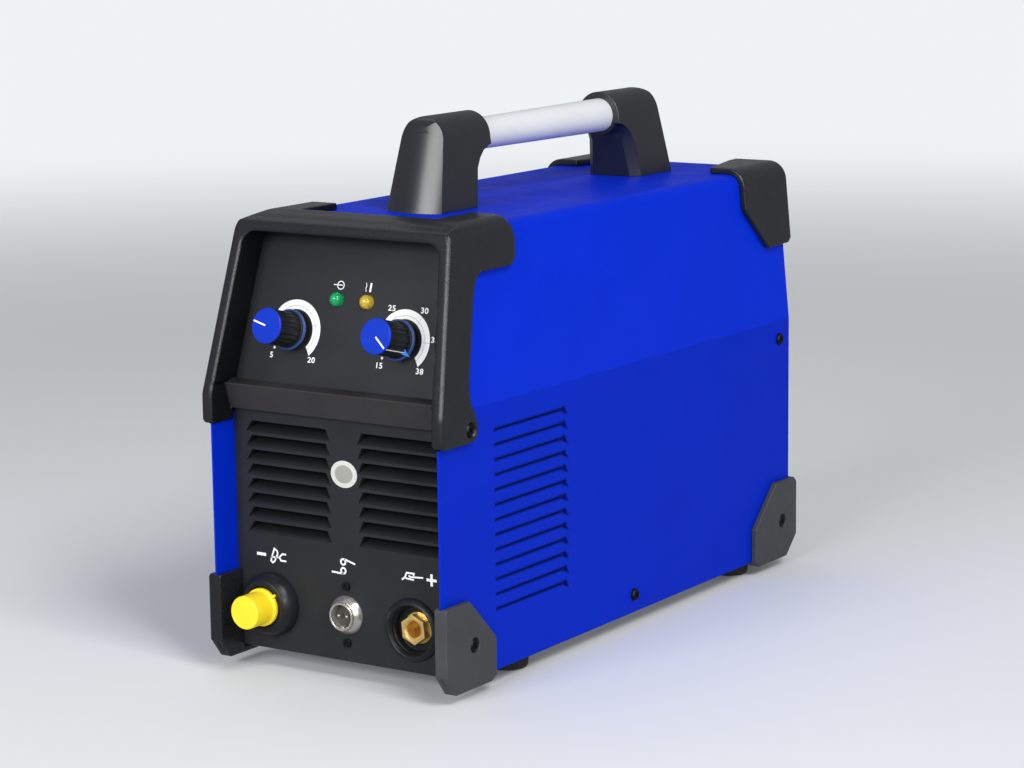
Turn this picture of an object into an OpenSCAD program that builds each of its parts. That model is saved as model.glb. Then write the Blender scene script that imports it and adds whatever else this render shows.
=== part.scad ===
// Plasma cutter unit: a portable inverter power source in a folded sheet
// cover with a moulded hood, corner guards and a carry handle.
// Millimetres. X is right seen from the front, Y runs to the back, Z is up.
// The origin is the bottom centre of the whole unit's bounding box.
// Inside the modules Y starts at the cover's front edge and Z at its lower
// edge; place() moves them into the unit's frame.

/* [Case] */
// width of the sheet cover below its crease
body_w = 155; // [150:0.5:162]
// width the leaning sides would reach at the top, before the rounding
top_w = 137.2; // [132:0.2:146]
// depth of the sheet cover, front edge to rear edge
body_d = 390.4; // [370:0.4:420]
// height of the sheet cover above its lower edge
body_h = 245.4; // [238:0.2:258]
// height of the crease where the sides start to lean in
crease_h = 150; // [146:0.5:154]
// radius of the cover's two top folds
corner_r = 8; // [6:0.5:10]
// thickness of the cover's sheet
sheet = 1.2; // [0.8:0.1:1.5]
// thickness of the base pan and rear panel sheet
pan_t = 1.5; // [1.2:0.1:1.8]

/* [Guards and feet] */
// how far the moulded guards and hood stand outside the cover
guard_t = 4; // [3:0.1:4.5]
// height of the rubber feet under the cover's lower edge
foot_h = 9; // [7:0.5:12]
// radius of a rubber foot at its sole
foot_r = 12; // [10:0.2:12.6]
// height of the corner guards above the cover's lower edge
guard_h = 46; // [42:0.5:50]
// length of the corner guards along the side
guard_l = 48; // [44:0.5:50]

/* [Hood and control plate] */
// backward tilt of the hood front and control plate, degrees
front_tilt = 14; // [12:0.5:16]
// hood front ahead of the cover's front edge, at the crease
hood_lead = 2; // [1:0.2:3]
// horizontal depth from the hood front to the control plate
recess_depth = 20; // [18:0.5:21]
// depth of the lower front panel behind the cover's front edge
panel_set = 19.6; // [18.5:0.2:21]
// wall of the moulded front panel
panel_t = 3; // [2.6:0.1:3.4]
// distance of each knob from the middle
knob_x = 36.9; // [34:0.2:40]
// height of the knob row above the crease
knob_rise = 34.3; // [31:0.2:38]
// radius of a knob's gripping body
knob_r = 9.7; // [8.8:0.1:10.2]
// height of a knob above the control plate
knob_h = 26.6; // [24:0.2:29]
// radius of an indicator lens
lens_r = 3.9; // [3:0.1:4.4]

/* [Front louvres] */
// rows of louvres in each group
louvre_rows = 8; // [6:1:8]
// height of one louvre
louvre_h = 6.5; // [5.5:0.1:6.8]
// distance from one louvre to the next
louvre_pitch = 8.23; // [8:0.01:8.4]

/* [Side louvres] */
// slits in each side of the cover
slit_count = 13; // [9:1:13]
// distance from one slit to the next
slit_pitch = 8.37; // [7.8:0.01:8.6]
// length of a slit
slit_l = 73.5; // [60:0.5:80]

/* [Sockets] */
// distance of the torch connector in from the cover's side
torch_in = 25.5; // [24:0.1:28]
// height of the torch connector above the cover's lower edge
torch_z = 28.3; // [27:0.1:34]
// radius of the torch connector's collar at the panel
torch_r = 18.2; // [17:0.1:18.6]
// radius of the yellow cap's grip
cap_r = 9.5; // [8.5:0.1:10]
// length of the cap's grip in front of its flange
cap_l = 14.5; // [11:0.1:18]
// distance of the earth socket in from the cover's side
earth_in = 32.8; // [31.5:0.1:34]
// height of the earth socket above the cover's lower edge
earth_z = 25.8; // [24:0.2:28]
// radius of the earth socket's bore
earth_bore_r = 4.7; // [4.3:0.1:5.4]
// height of the signal connector above the cover's lower edge
signal_z = 28.5; // [27:0.1:30]

/* [Handle] */
// height of the handle above the cover's top
handle_h = 53.1; // [50:0.1:60]
// half the width of a handle post at its foot
post_w = 18.9; // [18:0.1:22]
// depth of a handle post at its foot
post_d = 41.4; // [39:0.2:44]
// distance from the cover's front edge to the front post's front corners
post_y = 90.6; // [87:0.2:95]
// distance over the outer corners of both handle posts
handle_span = 252.6; // [240:0.2:262]
// how far the middle of a post's outer face stands in front of its corners
post_bulge = 5; // [3:0.2:7]
// radius of the grip bar at its front end
bar_r1 = 9.0; // [8:0.1:10]
// radius of the grip bar at its rear end
bar_r2 = 10.4; // [9:0.1:11]

/* [Rear] */
// radius of the fan opening
fan_r = 43; // [40:0.2:43.4]
// height of the fan's centre above the cover's lower edge
fan_z = 138; // [134:0.5:141]
// blades on the fan rotor
blades = 7; // [5:1:9]
// the power switch's centre below the cover's top
switch_drop = 34.4; // [32:0.2:38]
// the power switch's centre in from the cover's side
switch_in = 41.5; // [39:0.5:44]
// the cable gland's centre in from the cover's side
gland_in = 35.5; // [33:0.5:38]
// height of the cable gland above the cover's lower edge
gland_z = 38; // [36:0.5:44]
// radius of the bore for the mains cable
cable_r = 5; // [4:0.1:5.5]

/* [Inside] */
// height of the main board above the crease
board_rise = 8; // [6:0.5:14]
// radius of the main capacitors
can_r = 15; // [12:0.5:15.5]
// height of the main capacitors
can_h = 40; // [30:1:48]
// length of the heat sinks
sink_l = 104; // [80:1:108]
// height of the heat sinks
sink_h = 82; // [70:1:86]
// reach of the heat sinks' fins
fin_l = 27; // [20:0.5:30]
// width of the transformer's core
core_w = 68; // [60:1:72]
// height of the transformer's core
core_h = 60; // [50:1:70]
// radius of the inductor's ring
ring_r = 23; // [20:0.5:24]

/* [Hidden] */
$fn = 48;

BLACK = [0.17, 0.17, 0.19];
BLUE = [0.05, 0.16, 0.75];
STEEL = [0.62, 0.63, 0.65];
BRASS = [0.86, 0.68, 0.30];

hw = body_w/2;
lean = (body_w - top_w)/2/(body_h - crease_h);
slope = tan(front_tilt);
gap = 0.1;                              // assembly gap beside the sheet
inner = sheet + gap;                    // depth from the cover's outside to inner parts
rim_in = 3.2;                           // the hood recess's side wall, inside the cover's outside
recess_top = body_h - 6;
plate_t = 2;
knob_z = crease_h + knob_rise;
lens_s = 19.3;                          // lenses above the knob row, along the plate
lens_x = 10.2;
left_angle = 165;                       // the left knob's pointer, as drawn
right_angle = -42;                      // the right knob's pointer, as drawn
ledge_z = crease_h + 5;
panel_y = panel_set;                    // front face of the lower panel
rear_y = body_d - 6;                    // outer face of the rear panel
rear_in = rear_y - pan_t;               // inner face of the rear panel
fan_d = 25;
collar_l = 10;
fitting_l = 9.6;
cap_h = fitting_l + 2.6 + cap_l;        // cap tip in front of the panel
inlet_l = 26;
y_front = panel_y - cap_h;
y_rear = rear_y + inlet_l;
y_mid = (y_front + y_rear)/2;
board_z = crease_h + board_rise;
torch_x = hw - torch_in;
earth_x = hw - earth_in;
switch_x = hw - switch_in;
switch_z = body_h - switch_drop;
gland_x = hw - gland_in;
deck_z = pan_t + 0.4;                   // top face of the base pan
rail_x = hw - 11.5;                     // inner face of the side rails
board_y = panel_y + 56.4;               // front end of the rails and the main board
valve_y = board_y - 27.5;               // front of the air valve, ahead of the rails
board_l = rear_in - 44 - board_y;
sink_y = rear_in - 51 - sink_l;
sink_z = board_z - 10 - sink_h;
core_y = board_y + 42;
ring_y = core_y + 78;
top_z = body_h + guard_t;
louvre_top = crease_h - 17.8;
louvre_d = 8;                           // depth of the louvre blades
louvre_rise = 0.78;                     // rise of a blade per mm of depth
louvre_low = louvre_top - (louvre_rows - 1)*louvre_pitch - louvre_h - 3;
slit_top = crease_h - 15;
slit_y = 53.1;
seal_z = louvre_top - 24.1;
arch_r = 14.5;
arch_z = body_h + handle_h - arch_r;    // centre of the handle posts' round top
bar_z = arch_z + 0.3;
barrel_r = bar_r2 + 2.2;                // barrel round the bar under a post's arm
post_tilt = 15.6;                       // lean of a post's outer face
leg_tilt = 11.3;                        // lean of a post's inner face
rear_post_y = post_y + handle_span;     // rear face of the rear post
guard_screw_z = guard_h - 25.2;
feet_y = [90, body_d - 45.4];
feet_x = hw - 18.5;

// [y, z, x of the face under the head] of the screws on each side
SIDE_SCREWS = [
    [198.6, 10.8, hw],
    [body_d - 13.5, crease_h - 11.8, hw],
    [25.5 - hood_lead + 2, crease_h - 10.4, hw + guard_t - 2.2],
    [26.1, guard_screw_z, hw + guard_t - 2.2],
    [body_d - 14.5, guard_screw_z, hw + guard_t - 2.2]
];

function front_y(z) = -hood_lead + slope*(z - crease_h);
function plate_y(z) = front_y(z) + recess_depth;
function side_x(z, off) = hw + off - lean*max(0, z - crease_h);
function cover_y(z) = 0.2 + (front_y(body_h) + 7)*(z - (crease_h - 10))/(body_h - crease_h + 10);

// ---------------------------------------------------------------- helpers

module place() {
    translate([0, -y_mid, foot_h]) children();
}

// a drawing in X and Z, extruded along Y
module along_y(y0, y1) {
    translate([0, y1, 0]) rotate([90, 0, 0]) linear_extrude(y1 - y0) children();
}

// a drawing in Y and Z, extruded along X
module along_x(x0, x1) {
    translate([x0, 0, 0]) rotate([90, 0, 90]) linear_extrude(x1 - x0) children();
}

// both sides of the unit
module both_sides() {
    children();
    mirror([1, 0, 0]) children();
}

// +Z of the children points out of the front panel
module on_front(x, z) {
    translate([x, panel_y, z]) rotate([90, 0, 0]) children();
}

// +Z of the children points out of the rear panel
module on_rear(x, z) {
    translate([x, rear_y, z]) rotate([-90, 0, 0]) children();
}

// +Z of the children points out of the control plate, +Y up along it
module on_plate(x, s, h = 0) {
    translate([0, plate_y(knob_z), knob_z]) rotate([90 - front_tilt, 0, 0])
        translate([x, s, h]) children();
}

module tube(r, bore, h) {
    difference() {
        cylinder(r = r, h = h);
        translate([0, 0, -1]) cylinder(r = bore, h = h + 2);
    }
}

// section of the case, off outside the cover
module body_profile(off) {
    top = body_h + off;
    r = corner_r + off;
    section(off, top, r);
}

module section(off, top, r) {
    k = sqrt(1 + lean*lean);
    xc = side_x(top - r, off) - r*k;
    polygon([
        [-hw - off, -6], [hw + off, -6], [hw + off, crease_h],
        [xc + r/k, top - r + r*lean/k], [xc, top],
        [-xc, top], [-xc - r/k, top - r + r*lean/k], [-hw - off, crease_h]
    ]);
    for (s = [-1, 1])
        translate([s*xc, top - r]) circle(r);
}

module band(z0, z1) {
    translate([-hw - 20, z0]) square([body_w + 40, z1 - z0]);
}

module side_holes(r, which) {
    both_sides()
        for (i = which)
            translate([hw - 6.8, SIDE_SCREWS[i][0], SIDE_SCREWS[i][1]]) rotate([0, 90, 0])
                cylinder(r = r, h = 30);
}

// pocket for a screw head in a moulding on the right side
module head_pocket(i) {
    translate([SIDE_SCREWS[i][2], SIDE_SCREWS[i][0], SIDE_SCREWS[i][1]]) rotate([0, 90, 0])
        cylinder(r = 4.3, h = 10);
}

// ------------------------------------------------------------------- case

// a slit seen from the right: a thin wedge that ends in a hooked corner
module slit() {
    h = 0.5;
    polygon([
        [0, -h], [0, h], [slit_l - 7, h + 0.2], [slit_l - 2.6, h + 0.7],
        [slit_l, -3.1], [slit_l - 3.6, -1.5], [slit_l - 7, -h]
    ]);
}

module cover() {
    color(BLUE) place() difference() {
        along_y(0, body_d) difference() {
            intersection() {
                body_profile(0);
                band(0, body_h + 1);
            }
            body_profile(-sheet);
        }
        along_x(-hw - 5, hw + 5)
            polygon([[-5, crease_h - 10], [cover_y(crease_h - 10), crease_h - 10],
                     [cover_y(body_h + 5), body_h + 5], [-5, body_h + 5]]);
        // the lower corners, cut back behind the guards
        along_x(-hw - 5, hw + 5) {
            polygon([[-5, -5], [-5, 12], [0, 12], [12, 0], [12, -5]]);
            polygon([[body_d + 5, -5], [body_d + 5, 12], [body_d, 12], [body_d - 12, 0], [body_d - 12, -5]]);
        }
        along_x(-hw - 5, hw + 5)
            for (i = [0 : slit_count - 1])
                translate([slit_y, slit_top - i*slit_pitch]) slit();
        side_holes(2.1, [0 : 4]);
        handle_holes(body_h - 5, 10);
    }
}

module base_pan() {
    w = hw - inner;
    color(STEEL) place() difference() {
        union() {
            translate([-w, panel_y + panel_t + 0.2, 0.4])
                cube([2*w, rear_in - panel_y - panel_t - 0.4, pan_t]);
            both_sides()
                translate([w - pan_t, 62, 0.4]) cube([pan_t, rear_in - 90, 21.6]);
        }
        for (x = [-feet_x, feet_x], y = feet_y)
            translate([x, y, -5]) cylinder(r = 3.1, h = 10);
        for (i = [0 : 7], x = [-30, 12])
            translate([x, 290 + i*8, -5]) cube([18, 3, 10]);
        side_holes(2.1, [0]);
    }
}

module louvre_group() {
    for (i = [0 : louvre_rows - 1])
        translate([0, panel_y, louvre_top - louvre_h - i*louvre_pitch]) {
            // the dished mouth
            intersection() {
                along_x(5, hw)
                    polygon([[-1, -louvre_rise], [-1, louvre_h], [louvre_h/louvre_rise, louvre_h]]);
                along_y(-2, louvre_d)
                    polygon([
                        [12.3, louvre_h + 0.01], [hw - 13.5, louvre_h + 0.01],
                        [hw - 9.2, 0], [hw - 9.2, -1], [9.4, -1], [9.4, 0]
                    ]);
            }
            // the slot that rises behind it
            along_x(12.3, hw - 13.5)
                polygon([
                    [0, 0.05], [0, louvre_h], [louvre_d + 1, louvre_h + (louvre_d + 1)*louvre_rise],
                    [louvre_d + 1, (louvre_d + 1)*louvre_rise + 0.05]
                ]);
        }
}

module front_panel() {
    w = hw - inner;
    color(BLACK) place() difference() {
        union() {
            translate([-w, panel_y, 1.7]) cube([2*w, panel_t, crease_h - 0.2]);
            both_sides()
                translate([w - 2.4, panel_y + panel_t - 0.1, 2.2]) cube([2.4, 35, crease_h - 1]);
            // block that carries the louvre blades
            translate([-hw + 7, panel_y + panel_t - 0.1, louvre_low])
                cube([body_w - 14, louvre_d - panel_t + 0.1, louvre_top - louvre_low + 8]);
        }
        both_sides() louvre_group();
        on_front(-torch_x, torch_z) translate([0, 0, -20]) cylinder(r = 13.1, h = 30);
        on_front(earth_x, earth_z) translate([0, 0, -20]) cylinder(r = 14.1, h = 30);
        on_front(0, signal_z) translate([0, 0, -20]) cylinder(r = 9.4, h = 30);
        for (s = [-16.1, 16.1])
            on_front(0, signal_z + s) translate([0, 0, -20]) cylinder(r = 1.6, h = 30);
        side_holes(2.1, [2, 3]);
    }
}

// side view of the hood, in Y and Z
module hood_side() {
    c = crease_h;
    hf = -hood_lead;
    polygon([
        [hf - 0.2, c - 1], [hf - 0.2, c - 15.2], [hf + 1.6, c - 17.4], [hf + 27.5, c - 17.4],
        [hf + 34.3, c - 9], [hf + 33, c - 5], [hf + 28.2, c + 5.5],
        [front_y(c + 15) + 25, c + 15], [front_y(body_h - 36) + 25, body_h - 36],
        [front_y(body_h - 27) + 26.6, body_h - 27], [front_y(body_h) + 25.2, body_h - 23.4],
        [front_y(body_h) + 55, body_h - 23.4], [front_y(body_h) + 59.6, body_h - 19.5],
        [front_y(body_h) + 60.8, body_h - 9], [front_y(body_h) + 58, top_z + 0.5],
        [front_y(body_h) + 25.2, top_z + 0.5], [front_y(body_h - 0.3), body_h - 0.3]
    ]);
    translate([SIDE_SCREWS[2][0], SIDE_SCREWS[2][1]]) circle(7);
}

module lip_section() {
    c = crease_h;
    hf = -hood_lead;
    difference() {
        polygon([
            [hf + 11.5, c + 4.6], [plate_y(c + 5.8), c + 5.8], [plate_y(c + 2.9), c + 2.9],
            [panel_y - 0.3, c + 2.3], [panel_y - 0.3, c - 10.8], [hf + 16.6, c - 10.8]
        ]);
        polygon([
            [hf + 14.9, c + 2.3], [panel_y + 5, c + 2.3], [panel_y + 5, c - 8.4], [hf + 18.5, c - 8.4]
        ]);
    }
}

module hood_shell() {
    difference() {
        intersection() {
            along_y(-20, 110) body_profile(guard_t);
            along_x(-hw - 10, hw + 10) hood_side();
        }
        // the recess, open to the front
        along_y(-30, 120) intersection() {
            section(-rim_in, recess_top, 9);
            band(ledge_z, body_h);
        }
        // room for the cover's sheet
        intersection() {
            along_y(-30, 120) difference() {
                body_profile(gap);
                body_profile(-inner);
            }
            along_x(-hw - 10, hw + 10)
                polygon([
                    [-0.2, 0], [-0.2, crease_h - 10], [cover_y(body_h + 5) - 0.4, body_h + 5],
                    [130, body_h + 5], [130, 0]
                ]);
        }
        // the inside of the case, behind the control plate
        intersection() {
            along_y(-30, 120) body_profile(-inner);
            along_x(-hw - 10, hw + 10)
                polygon([
                    [plate_y(ledge_z), ledge_z - 0.01], [plate_y(body_h + 5), body_h + 5],
                    [130, body_h + 5], [130, ledge_z - 0.01]
                ]);
        }
        // under the ledge, between the cheeks
        along_y(-30, 120) translate([-hw + rim_in, 0]) square([body_w - 2*rim_in, ledge_z + 0.01]);
        along_y(panel_y - 2.5, 120) translate([-hw + inner, 0]) square([body_w - 2*inner, ledge_z + 0.01]);
        // the top strip between the two rear flanges
        translate([-46, front_y(body_h) + 25.2, body_h - 10]) cube([92, 90, 40]);
    }
}

module hood() {
    color(BLACK) place() difference() {
        union() {
            hood_shell();
            along_x(-hw + rim_in - 0.6, hw - rim_in + 0.6) lip_section();
        }
        side_holes(2.1, [2]);
        both_sides() head_pocket(2);
    }
}

module control_plate() {
    color([0.13, 0.13, 0.14]) place() difference() {
        intersection() {
            along_y(-10, 90) body_profile(-inner - 0.4);
            along_x(-hw, hw)
                polygon([
                    [plate_y(ledge_z - 2), ledge_z - 2], [plate_y(body_h - 1.8), body_h - 1.8],
                    [plate_y(body_h - 1.8) + plate_t, body_h - 1.8],
                    [plate_y(ledge_z - 2) + plate_t, ledge_z - 2]
                ]);
        }
        for (s = [-1, 1]) {
            on_plate(s*knob_x, 0, -10) cylinder(r = 3.6, h = 20);
            on_plate(s*lens_x, lens_s, -10) cylinder(r = lens_r + 0.1, h = 20);
        }
    }
}

module rear_panel() {
    w = hw - inner;
    color([0.2, 0.2, 0.22]) place() difference() {
        union() {
            along_y(rear_in, rear_y) intersection() {
                body_profile(-inner);
                band(0.6, body_h);
            }
            both_sides()
                translate([w - pan_t, rear_in - 24, 6]) cube([pan_t, 24.5, crease_h - 8]);
        }
        on_rear(0, fan_z) translate([0, 0, -20]) cylinder(r = fan_r, h = 40);
        for (x = [-41.25, 41.25], z = [-41.25, 41.25])
            on_rear(x, fan_z + z) translate([0, 0, -20]) cylinder(r = 2.2, h = 40);
        on_rear(switch_x, switch_z) translate([-13, -14.5, -20]) cube([26, 29, 40]);
        on_rear(gland_x, gland_z) translate([0, 0, -20]) cylinder(r = 8.1, h = 40);
        on_rear(-torch_x, torch_z) translate([0, 0, -20]) cylinder(r = 6.1, h = 40);
        on_rear(8, 24) translate([0, 0, -20]) cylinder(r = 2.6, h = 40);
        side_holes(2.1, [1, 4]);
    }
}

// ----------------------------------------------------------------- guards

module guard_outline_front() {
    polygon([
        [-1, 8], [-1, guard_h - 1.2], [0.2, guard_h], [guard_l - 26, guard_h],
        [guard_l - 1, guard_h - 25], [guard_l - 1, -0.6], [guard_l - 6, -3.2], [7.5, -3.2]
    ]);
}

module guard_outline_rear() {
    d = body_d;
    polygon([
        [d + guard_t, 9], [d + guard_t, guard_h - 2.2], [d + guard_t - 3, guard_h + 0.8],
        [d - guard_l + 25, guard_h + 0.8], [d - guard_l - 1.4, guard_h - 24.5],
        [d - guard_l - 1.4, 0.8], [d - guard_l + 2.6, -3.2], [d - 9, -3.2]
    ]);
}

module guard_front() {
    color(BLACK) place() difference() {
        union() {
            along_x(hw + 0.05, hw + guard_t) guard_outline_front();
            along_x(hw - 4.1, hw + guard_t) intersection() {
                guard_outline_front();
                translate([-5, -10]) square([panel_y + 4.9, 80]);
            }
            along_x(hw - 4.1, hw + guard_t) intersection() {
                guard_outline_front();
                translate([-5, -10]) square([80, 9.9]);
            }
        }
        // room for the cover's sheet
        translate([hw - inner, -0.1, -0.1]) cube([inner + 0.05, 100, 100]);
        side_holes(2.1, [3]);
        head_pocket(3);
    }
}

module guard_rear() {
    color(BLACK) place() difference() {
        union() {
            along_x(hw + 0.05, hw + guard_t) guard_outline_rear();
            along_x(hw - 9, hw + guard_t) intersection() {
                guard_outline_rear();
                translate([body_d + 0.1, -10]) square([20, 80]);
            }
            along_x(hw - 4.1, hw + guard_t) intersection() {
                guard_outline_rear();
                translate([body_d - 80, -10]) square([90, 9.9]);
            }
        }
        side_holes(2.1, [4]);
        head_pocket(4);
    }
}

module guard_top() {
    d = body_d;
    h = body_h;
    color(BLACK) place() intersection() {
        difference() {
            along_y(d - 70, d + guard_t) body_profile(guard_t);
            along_y(d - 90, d + 0.1) body_profile(0.05);
            along_y(d - 1, d + 20) section(-9, h - 9, 4);
        }
        // side view
        along_x(20, hw + 20) polygon([
            [d + guard_t, h - 44.5], [d + 0.5, h - 47.2], [d - 25, h - 48],
            [d - 51, h - 21.6], [d - 51, h + 20], [d + guard_t + 1, h + 20], [d + guard_t + 1, h - 44.5]
        ]);
        // top view
        translate([0, 0, h - 60]) linear_extrude(80)
            polygon([[49, d - 52], [hw + 20, d - 52], [hw + 20, d + 10], [36, d + 10], [37, d - 6]]);
    }
}

module guard_front_right() { guard_front(); }
module guard_front_left() { mirror([1, 0, 0]) guard_front(); }
module guard_rear_right() { guard_rear(); }
module guard_rear_left() { mirror([1, 0, 0]) guard_rear(); }
module guard_top_right() { guard_top(); }
module guard_top_left() { mirror([1, 0, 0]) guard_top(); }

module rubber_feet() {
    color([0.09, 0.09, 0.09]) place()
        for (x = [-feet_x, feet_x], y = feet_y)
            translate([x, y, -foot_h]) difference() {
                union() {
                    cylinder(r1 = foot_r - 0.8, r2 = foot_r, h = 1);
                    translate([0, 0, 1]) cylinder(r1 = foot_r, r2 = foot_r + 1, h = foot_h - 0.6);
                    translate([0, 0, foot_h]) cylinder(r = 3, h = pan_t + 3);
                    translate([0, 0, foot_h + 0.4 + pan_t]) cylinder(r1 = 4, r2 = 2.4, h = 3);
                }
                translate([0, 0, -1]) cylinder(r = 4, h = 4);
            }
}

// ----------------------------------------------------------------- handle

module handle_holes(z, h) {
    for (y = [post_y + 24, rear_post_y - 24], x = [-12, 12])
        translate([x, y, z]) cylinder(r = 2.1, h = h);
}

// the front post, from the case's top up; Y = 0 is the foot of its front corners
module post() {
    boss_l = post_d + 14.6;             // end of the arm that holds the bar
    under_z = arch_z - 4.5;             // underside of the arm at its end
    curve_h = 9;                        // height of the curve between the arm and the leg
    leg_y = post_d + (under_z - curve_h - body_h)*tan(leg_tilt);
    top = body_h + handle_h + 1;
    face_r = (post_w*post_w + post_bulge*post_bulge)/(2*post_bulge);
    nose = 9;                           // rounding between the outer face and the top
    nose_y = (handle_h - nose)*tan(post_tilt) + nose/cos(post_tilt) - post_bulge;
    // the sides lean in to meet the round top at a tangent
    edge_lean = acos(arch_r/norm([post_w, arch_z - body_h])) - atan((arch_z - body_h)/post_w);
    crown_w = post_w - (top - body_h)*tan(edge_lean) - 0.02;
    spring_z = arch_z + arch_r*sin(edge_lean);
    // outer edge of the bevels on the inner face, which sweep out along the arm
    bevel = 5.6;
    low = under_z - 12;
    edge = [
        [post_d - bevel, body_h], [post_d - bevel + (low - body_h)*tan(leg_tilt), low],
        [post_d + 2.2, under_z - 6.6], [post_d + 6.6, under_z - 2.5], [boss_l + 1, under_z + 0.6]
    ];
    difference() {
        intersection() {
            along_y(-post_bulge - 1, boss_l)
                polygon([[-post_w, body_h], [-crown_w, top], [crown_w, top], [post_w, body_h]]);
            along_x(-post_w - 5, post_w + 5)
                polygon(concat(
                    [[post_d, body_h], [-post_bulge - 0.5, body_h]],
                    [[-post_bulge - 0.5 + (handle_h + 1)*tan(post_tilt), top], [boss_l, top]],
                    [for (a = [0:9:90])
                        [boss_l - (boss_l - leg_y)*sin(a), under_z - curve_h*(1 - cos(a))]]
                ));
        }
        along_y(-20, boss_l + 10) difference() {
            translate([-40, spring_z]) square([80, 40]);
            translate([0, arch_z]) circle(arch_r);
        }
        along_x(-40, 40) difference() {
            translate([-20, body_h + handle_h - nose]) square([20 + nose_y, 30]);
            translate([nose_y, body_h + handle_h - nose]) circle(nose);
        }
        translate([0, 0, body_h]) rotate([-post_tilt, 0, 0])
            translate([0, 0, -20]) linear_extrude(100) difference() {
                translate([-30, -20]) square([60, 20 + face_r - post_bulge]);
                translate([0, face_r - post_bulge]) circle(face_r, $fn = 128);
            }
        for (i = [0:len(edge) - 2]) {
            step = edge[i + 1] - edge[i];
            across = (step[0] - step[1]*tan(edge_lean))/sqrt(2);
            start = (i == 0) ? 8 : 0;
            both_sides() translate([post_w - (edge[i][1] - body_h)*tan(edge_lean), edge[i][0], edge[i][1]])
                rotate([0, atan(across/step[1]), 45])
                    translate([0, -20, -start]) cube([20, 40, start + norm([across, step[1]])]);
        }
    }
    // barrel round the bar
    translate([0, boss_l - 0.6, bar_z]) rotate([90, 0, 0]) cylinder(r = barrel_r, h = 20, $fn = 96);
}

module bar_solid(extra) {
    y0 = post_y + 34;
    y1 = rear_post_y - 34;
    translate([0, y1, bar_z]) rotate([90, 0, 0])
        cylinder(r1 = bar_r2 + extra, r2 = bar_r1 + extra, h = y1 - y0, $fn = 64);
}

module handle_post_front() {
    color(BLACK) place() difference() {
        translate([0, post_y, 0]) post();
        bar_solid(0.05);
        handle_holes(body_h - 2, 18);
    }
}

module handle_post_rear() {
    color(BLACK) place() difference() {
        translate([0, rear_post_y, 0]) mirror([0, 1, 0]) post();
        bar_solid(0.05);
        handle_holes(body_h - 2, 18);
    }
}

module handle_bar() {
    color([0.92, 0.92, 0.92]) place() bar_solid(0);
}

module handle_screws() {
    color(STEEL) place()
        for (y = [post_y + 24, rear_post_y - 24], x = [-12, 12])
            translate([x, y, body_h - sheet]) {
                translate([0, 0, -2.2]) cylinder(r = 4, h = 2.2);
                cylinder(r = 2, h = 16);
            }
}

// ------------------------------------------------------------ control row

module knob_body() {
    skirt_r = knob_r + 1.7;
    skirt_h = 4.4;                      // underside of the skirt above the plate
    h1 = knob_h - 1.4;
    difference() {
        union() {
            translate([0, 0, 0.6]) cylinder(r = knob_r - 0.9, h = skirt_h);
            translate([0, 0, skirt_h]) cylinder(r1 = skirt_r - 0.5, r2 = skirt_r, h = 0.8);
            translate([0, 0, skirt_h + 0.8]) cylinder(r = skirt_r, h = 0.9);
            translate([0, 0, skirt_h + 1.7]) cylinder(r1 = skirt_r, r2 = knob_r, h = 1.2);
            translate([0, 0, skirt_h + 2.9]) cylinder(r = knob_r, h = h1 - skirt_h - 2.9);
        }
        cylinder(r = 7.2, h = 5.2);
        cylinder(r = 3, h = 17.8);
        for (i = [0 : 17])
            rotate([0, 0, i*20 + 10]) translate([knob_r + 0.55, 0, skirt_h + 3.1])
                cylinder(r = 1.2, h = knob_h, $fn = 16);
    }
}

module knob_cap(a) {
    difference() {
        union() {
            translate([0, 0, knob_h - 1.4]) cylinder(r = knob_r + 0.2, h = 0.9);
            translate([0, 0, knob_h - 0.5]) cylinder(r1 = knob_r + 0.2, r2 = knob_r - 0.2, h = 0.5);
        }
        rotate([0, 0, a]) translate([0.5, -0.5, knob_h - 0.3]) cube([knob_r - 1, 1, 1]);
    }
}

module knob_left() {
    color(BLACK) place() on_plate(-knob_x, 0) rotate([0, 0, left_angle]) knob_body();
}

module knob_right() {
    color(BLACK) place() on_plate(knob_x, 0) rotate([0, 0, right_angle]) knob_body();
}

module knob_cap_left() {
    color(BLUE) place() on_plate(-knob_x, 0) knob_cap(left_angle);
}

module knob_cap_right() {
    color(BLUE) place() on_plate(knob_x, 0) knob_cap(right_angle);
}

module pot_shaft() {
    translate([0, 0, -10]) cylinder(r = 2.95, h = 27.4);
}

module pot_shaft_left() {
    color(STEEL) place() on_plate(-knob_x, 0) pot_shaft();
}

module pot_shaft_right() {
    color(STEEL) place() on_plate(knob_x, 0) pot_shaft();
}

module potentiometers() {
    color(STEEL) place()
        for (s = [-1, 1])
            on_plate(s*knob_x, 0) difference() {
                union() {
                    translate([0, 0, -11.5]) cylinder(r = 8, h = 11.5 - plate_t);
                    translate([-6, -13, -11.5]) cube([12, 8, 3]);
                    translate([0, 0, -plate_t - 0.1]) cylinder(r = 3.45, h = plate_t + 5);
                    cylinder(r = 5.7, h = 2.2, $fn = 6);
                }
                translate([0, 0, -10.2]) cylinder(r = 3, h = 30);
            }
}

module lens() {
    cylinder(r = lens_r, h = 1.4);
    translate([0, 0, 1.4]) intersection() {
        sphere(r = lens_r);
        cylinder(r = lens_r + 1, h = 10);
    }
    translate([0, 0, -plate_t]) cylinder(r = lens_r, h = plate_t);
    translate([0, 0, -plate_t - 2.4]) cylinder(r = lens_r + 0.8, h = 2.2);
    for (x = [-1.27, 1.27])
        translate([x, 0, -12.6]) cylinder(r = 0.35, h = 11, $fn = 16);
}

module lens_green() {
    color([0.1, 0.65, 0.35]) place() on_plate(-lens_x, lens_s) lens();
}

module lens_amber() {
    color([0.85, 0.7, 0.2]) place() on_plate(lens_x, lens_s) lens();
}

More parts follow.
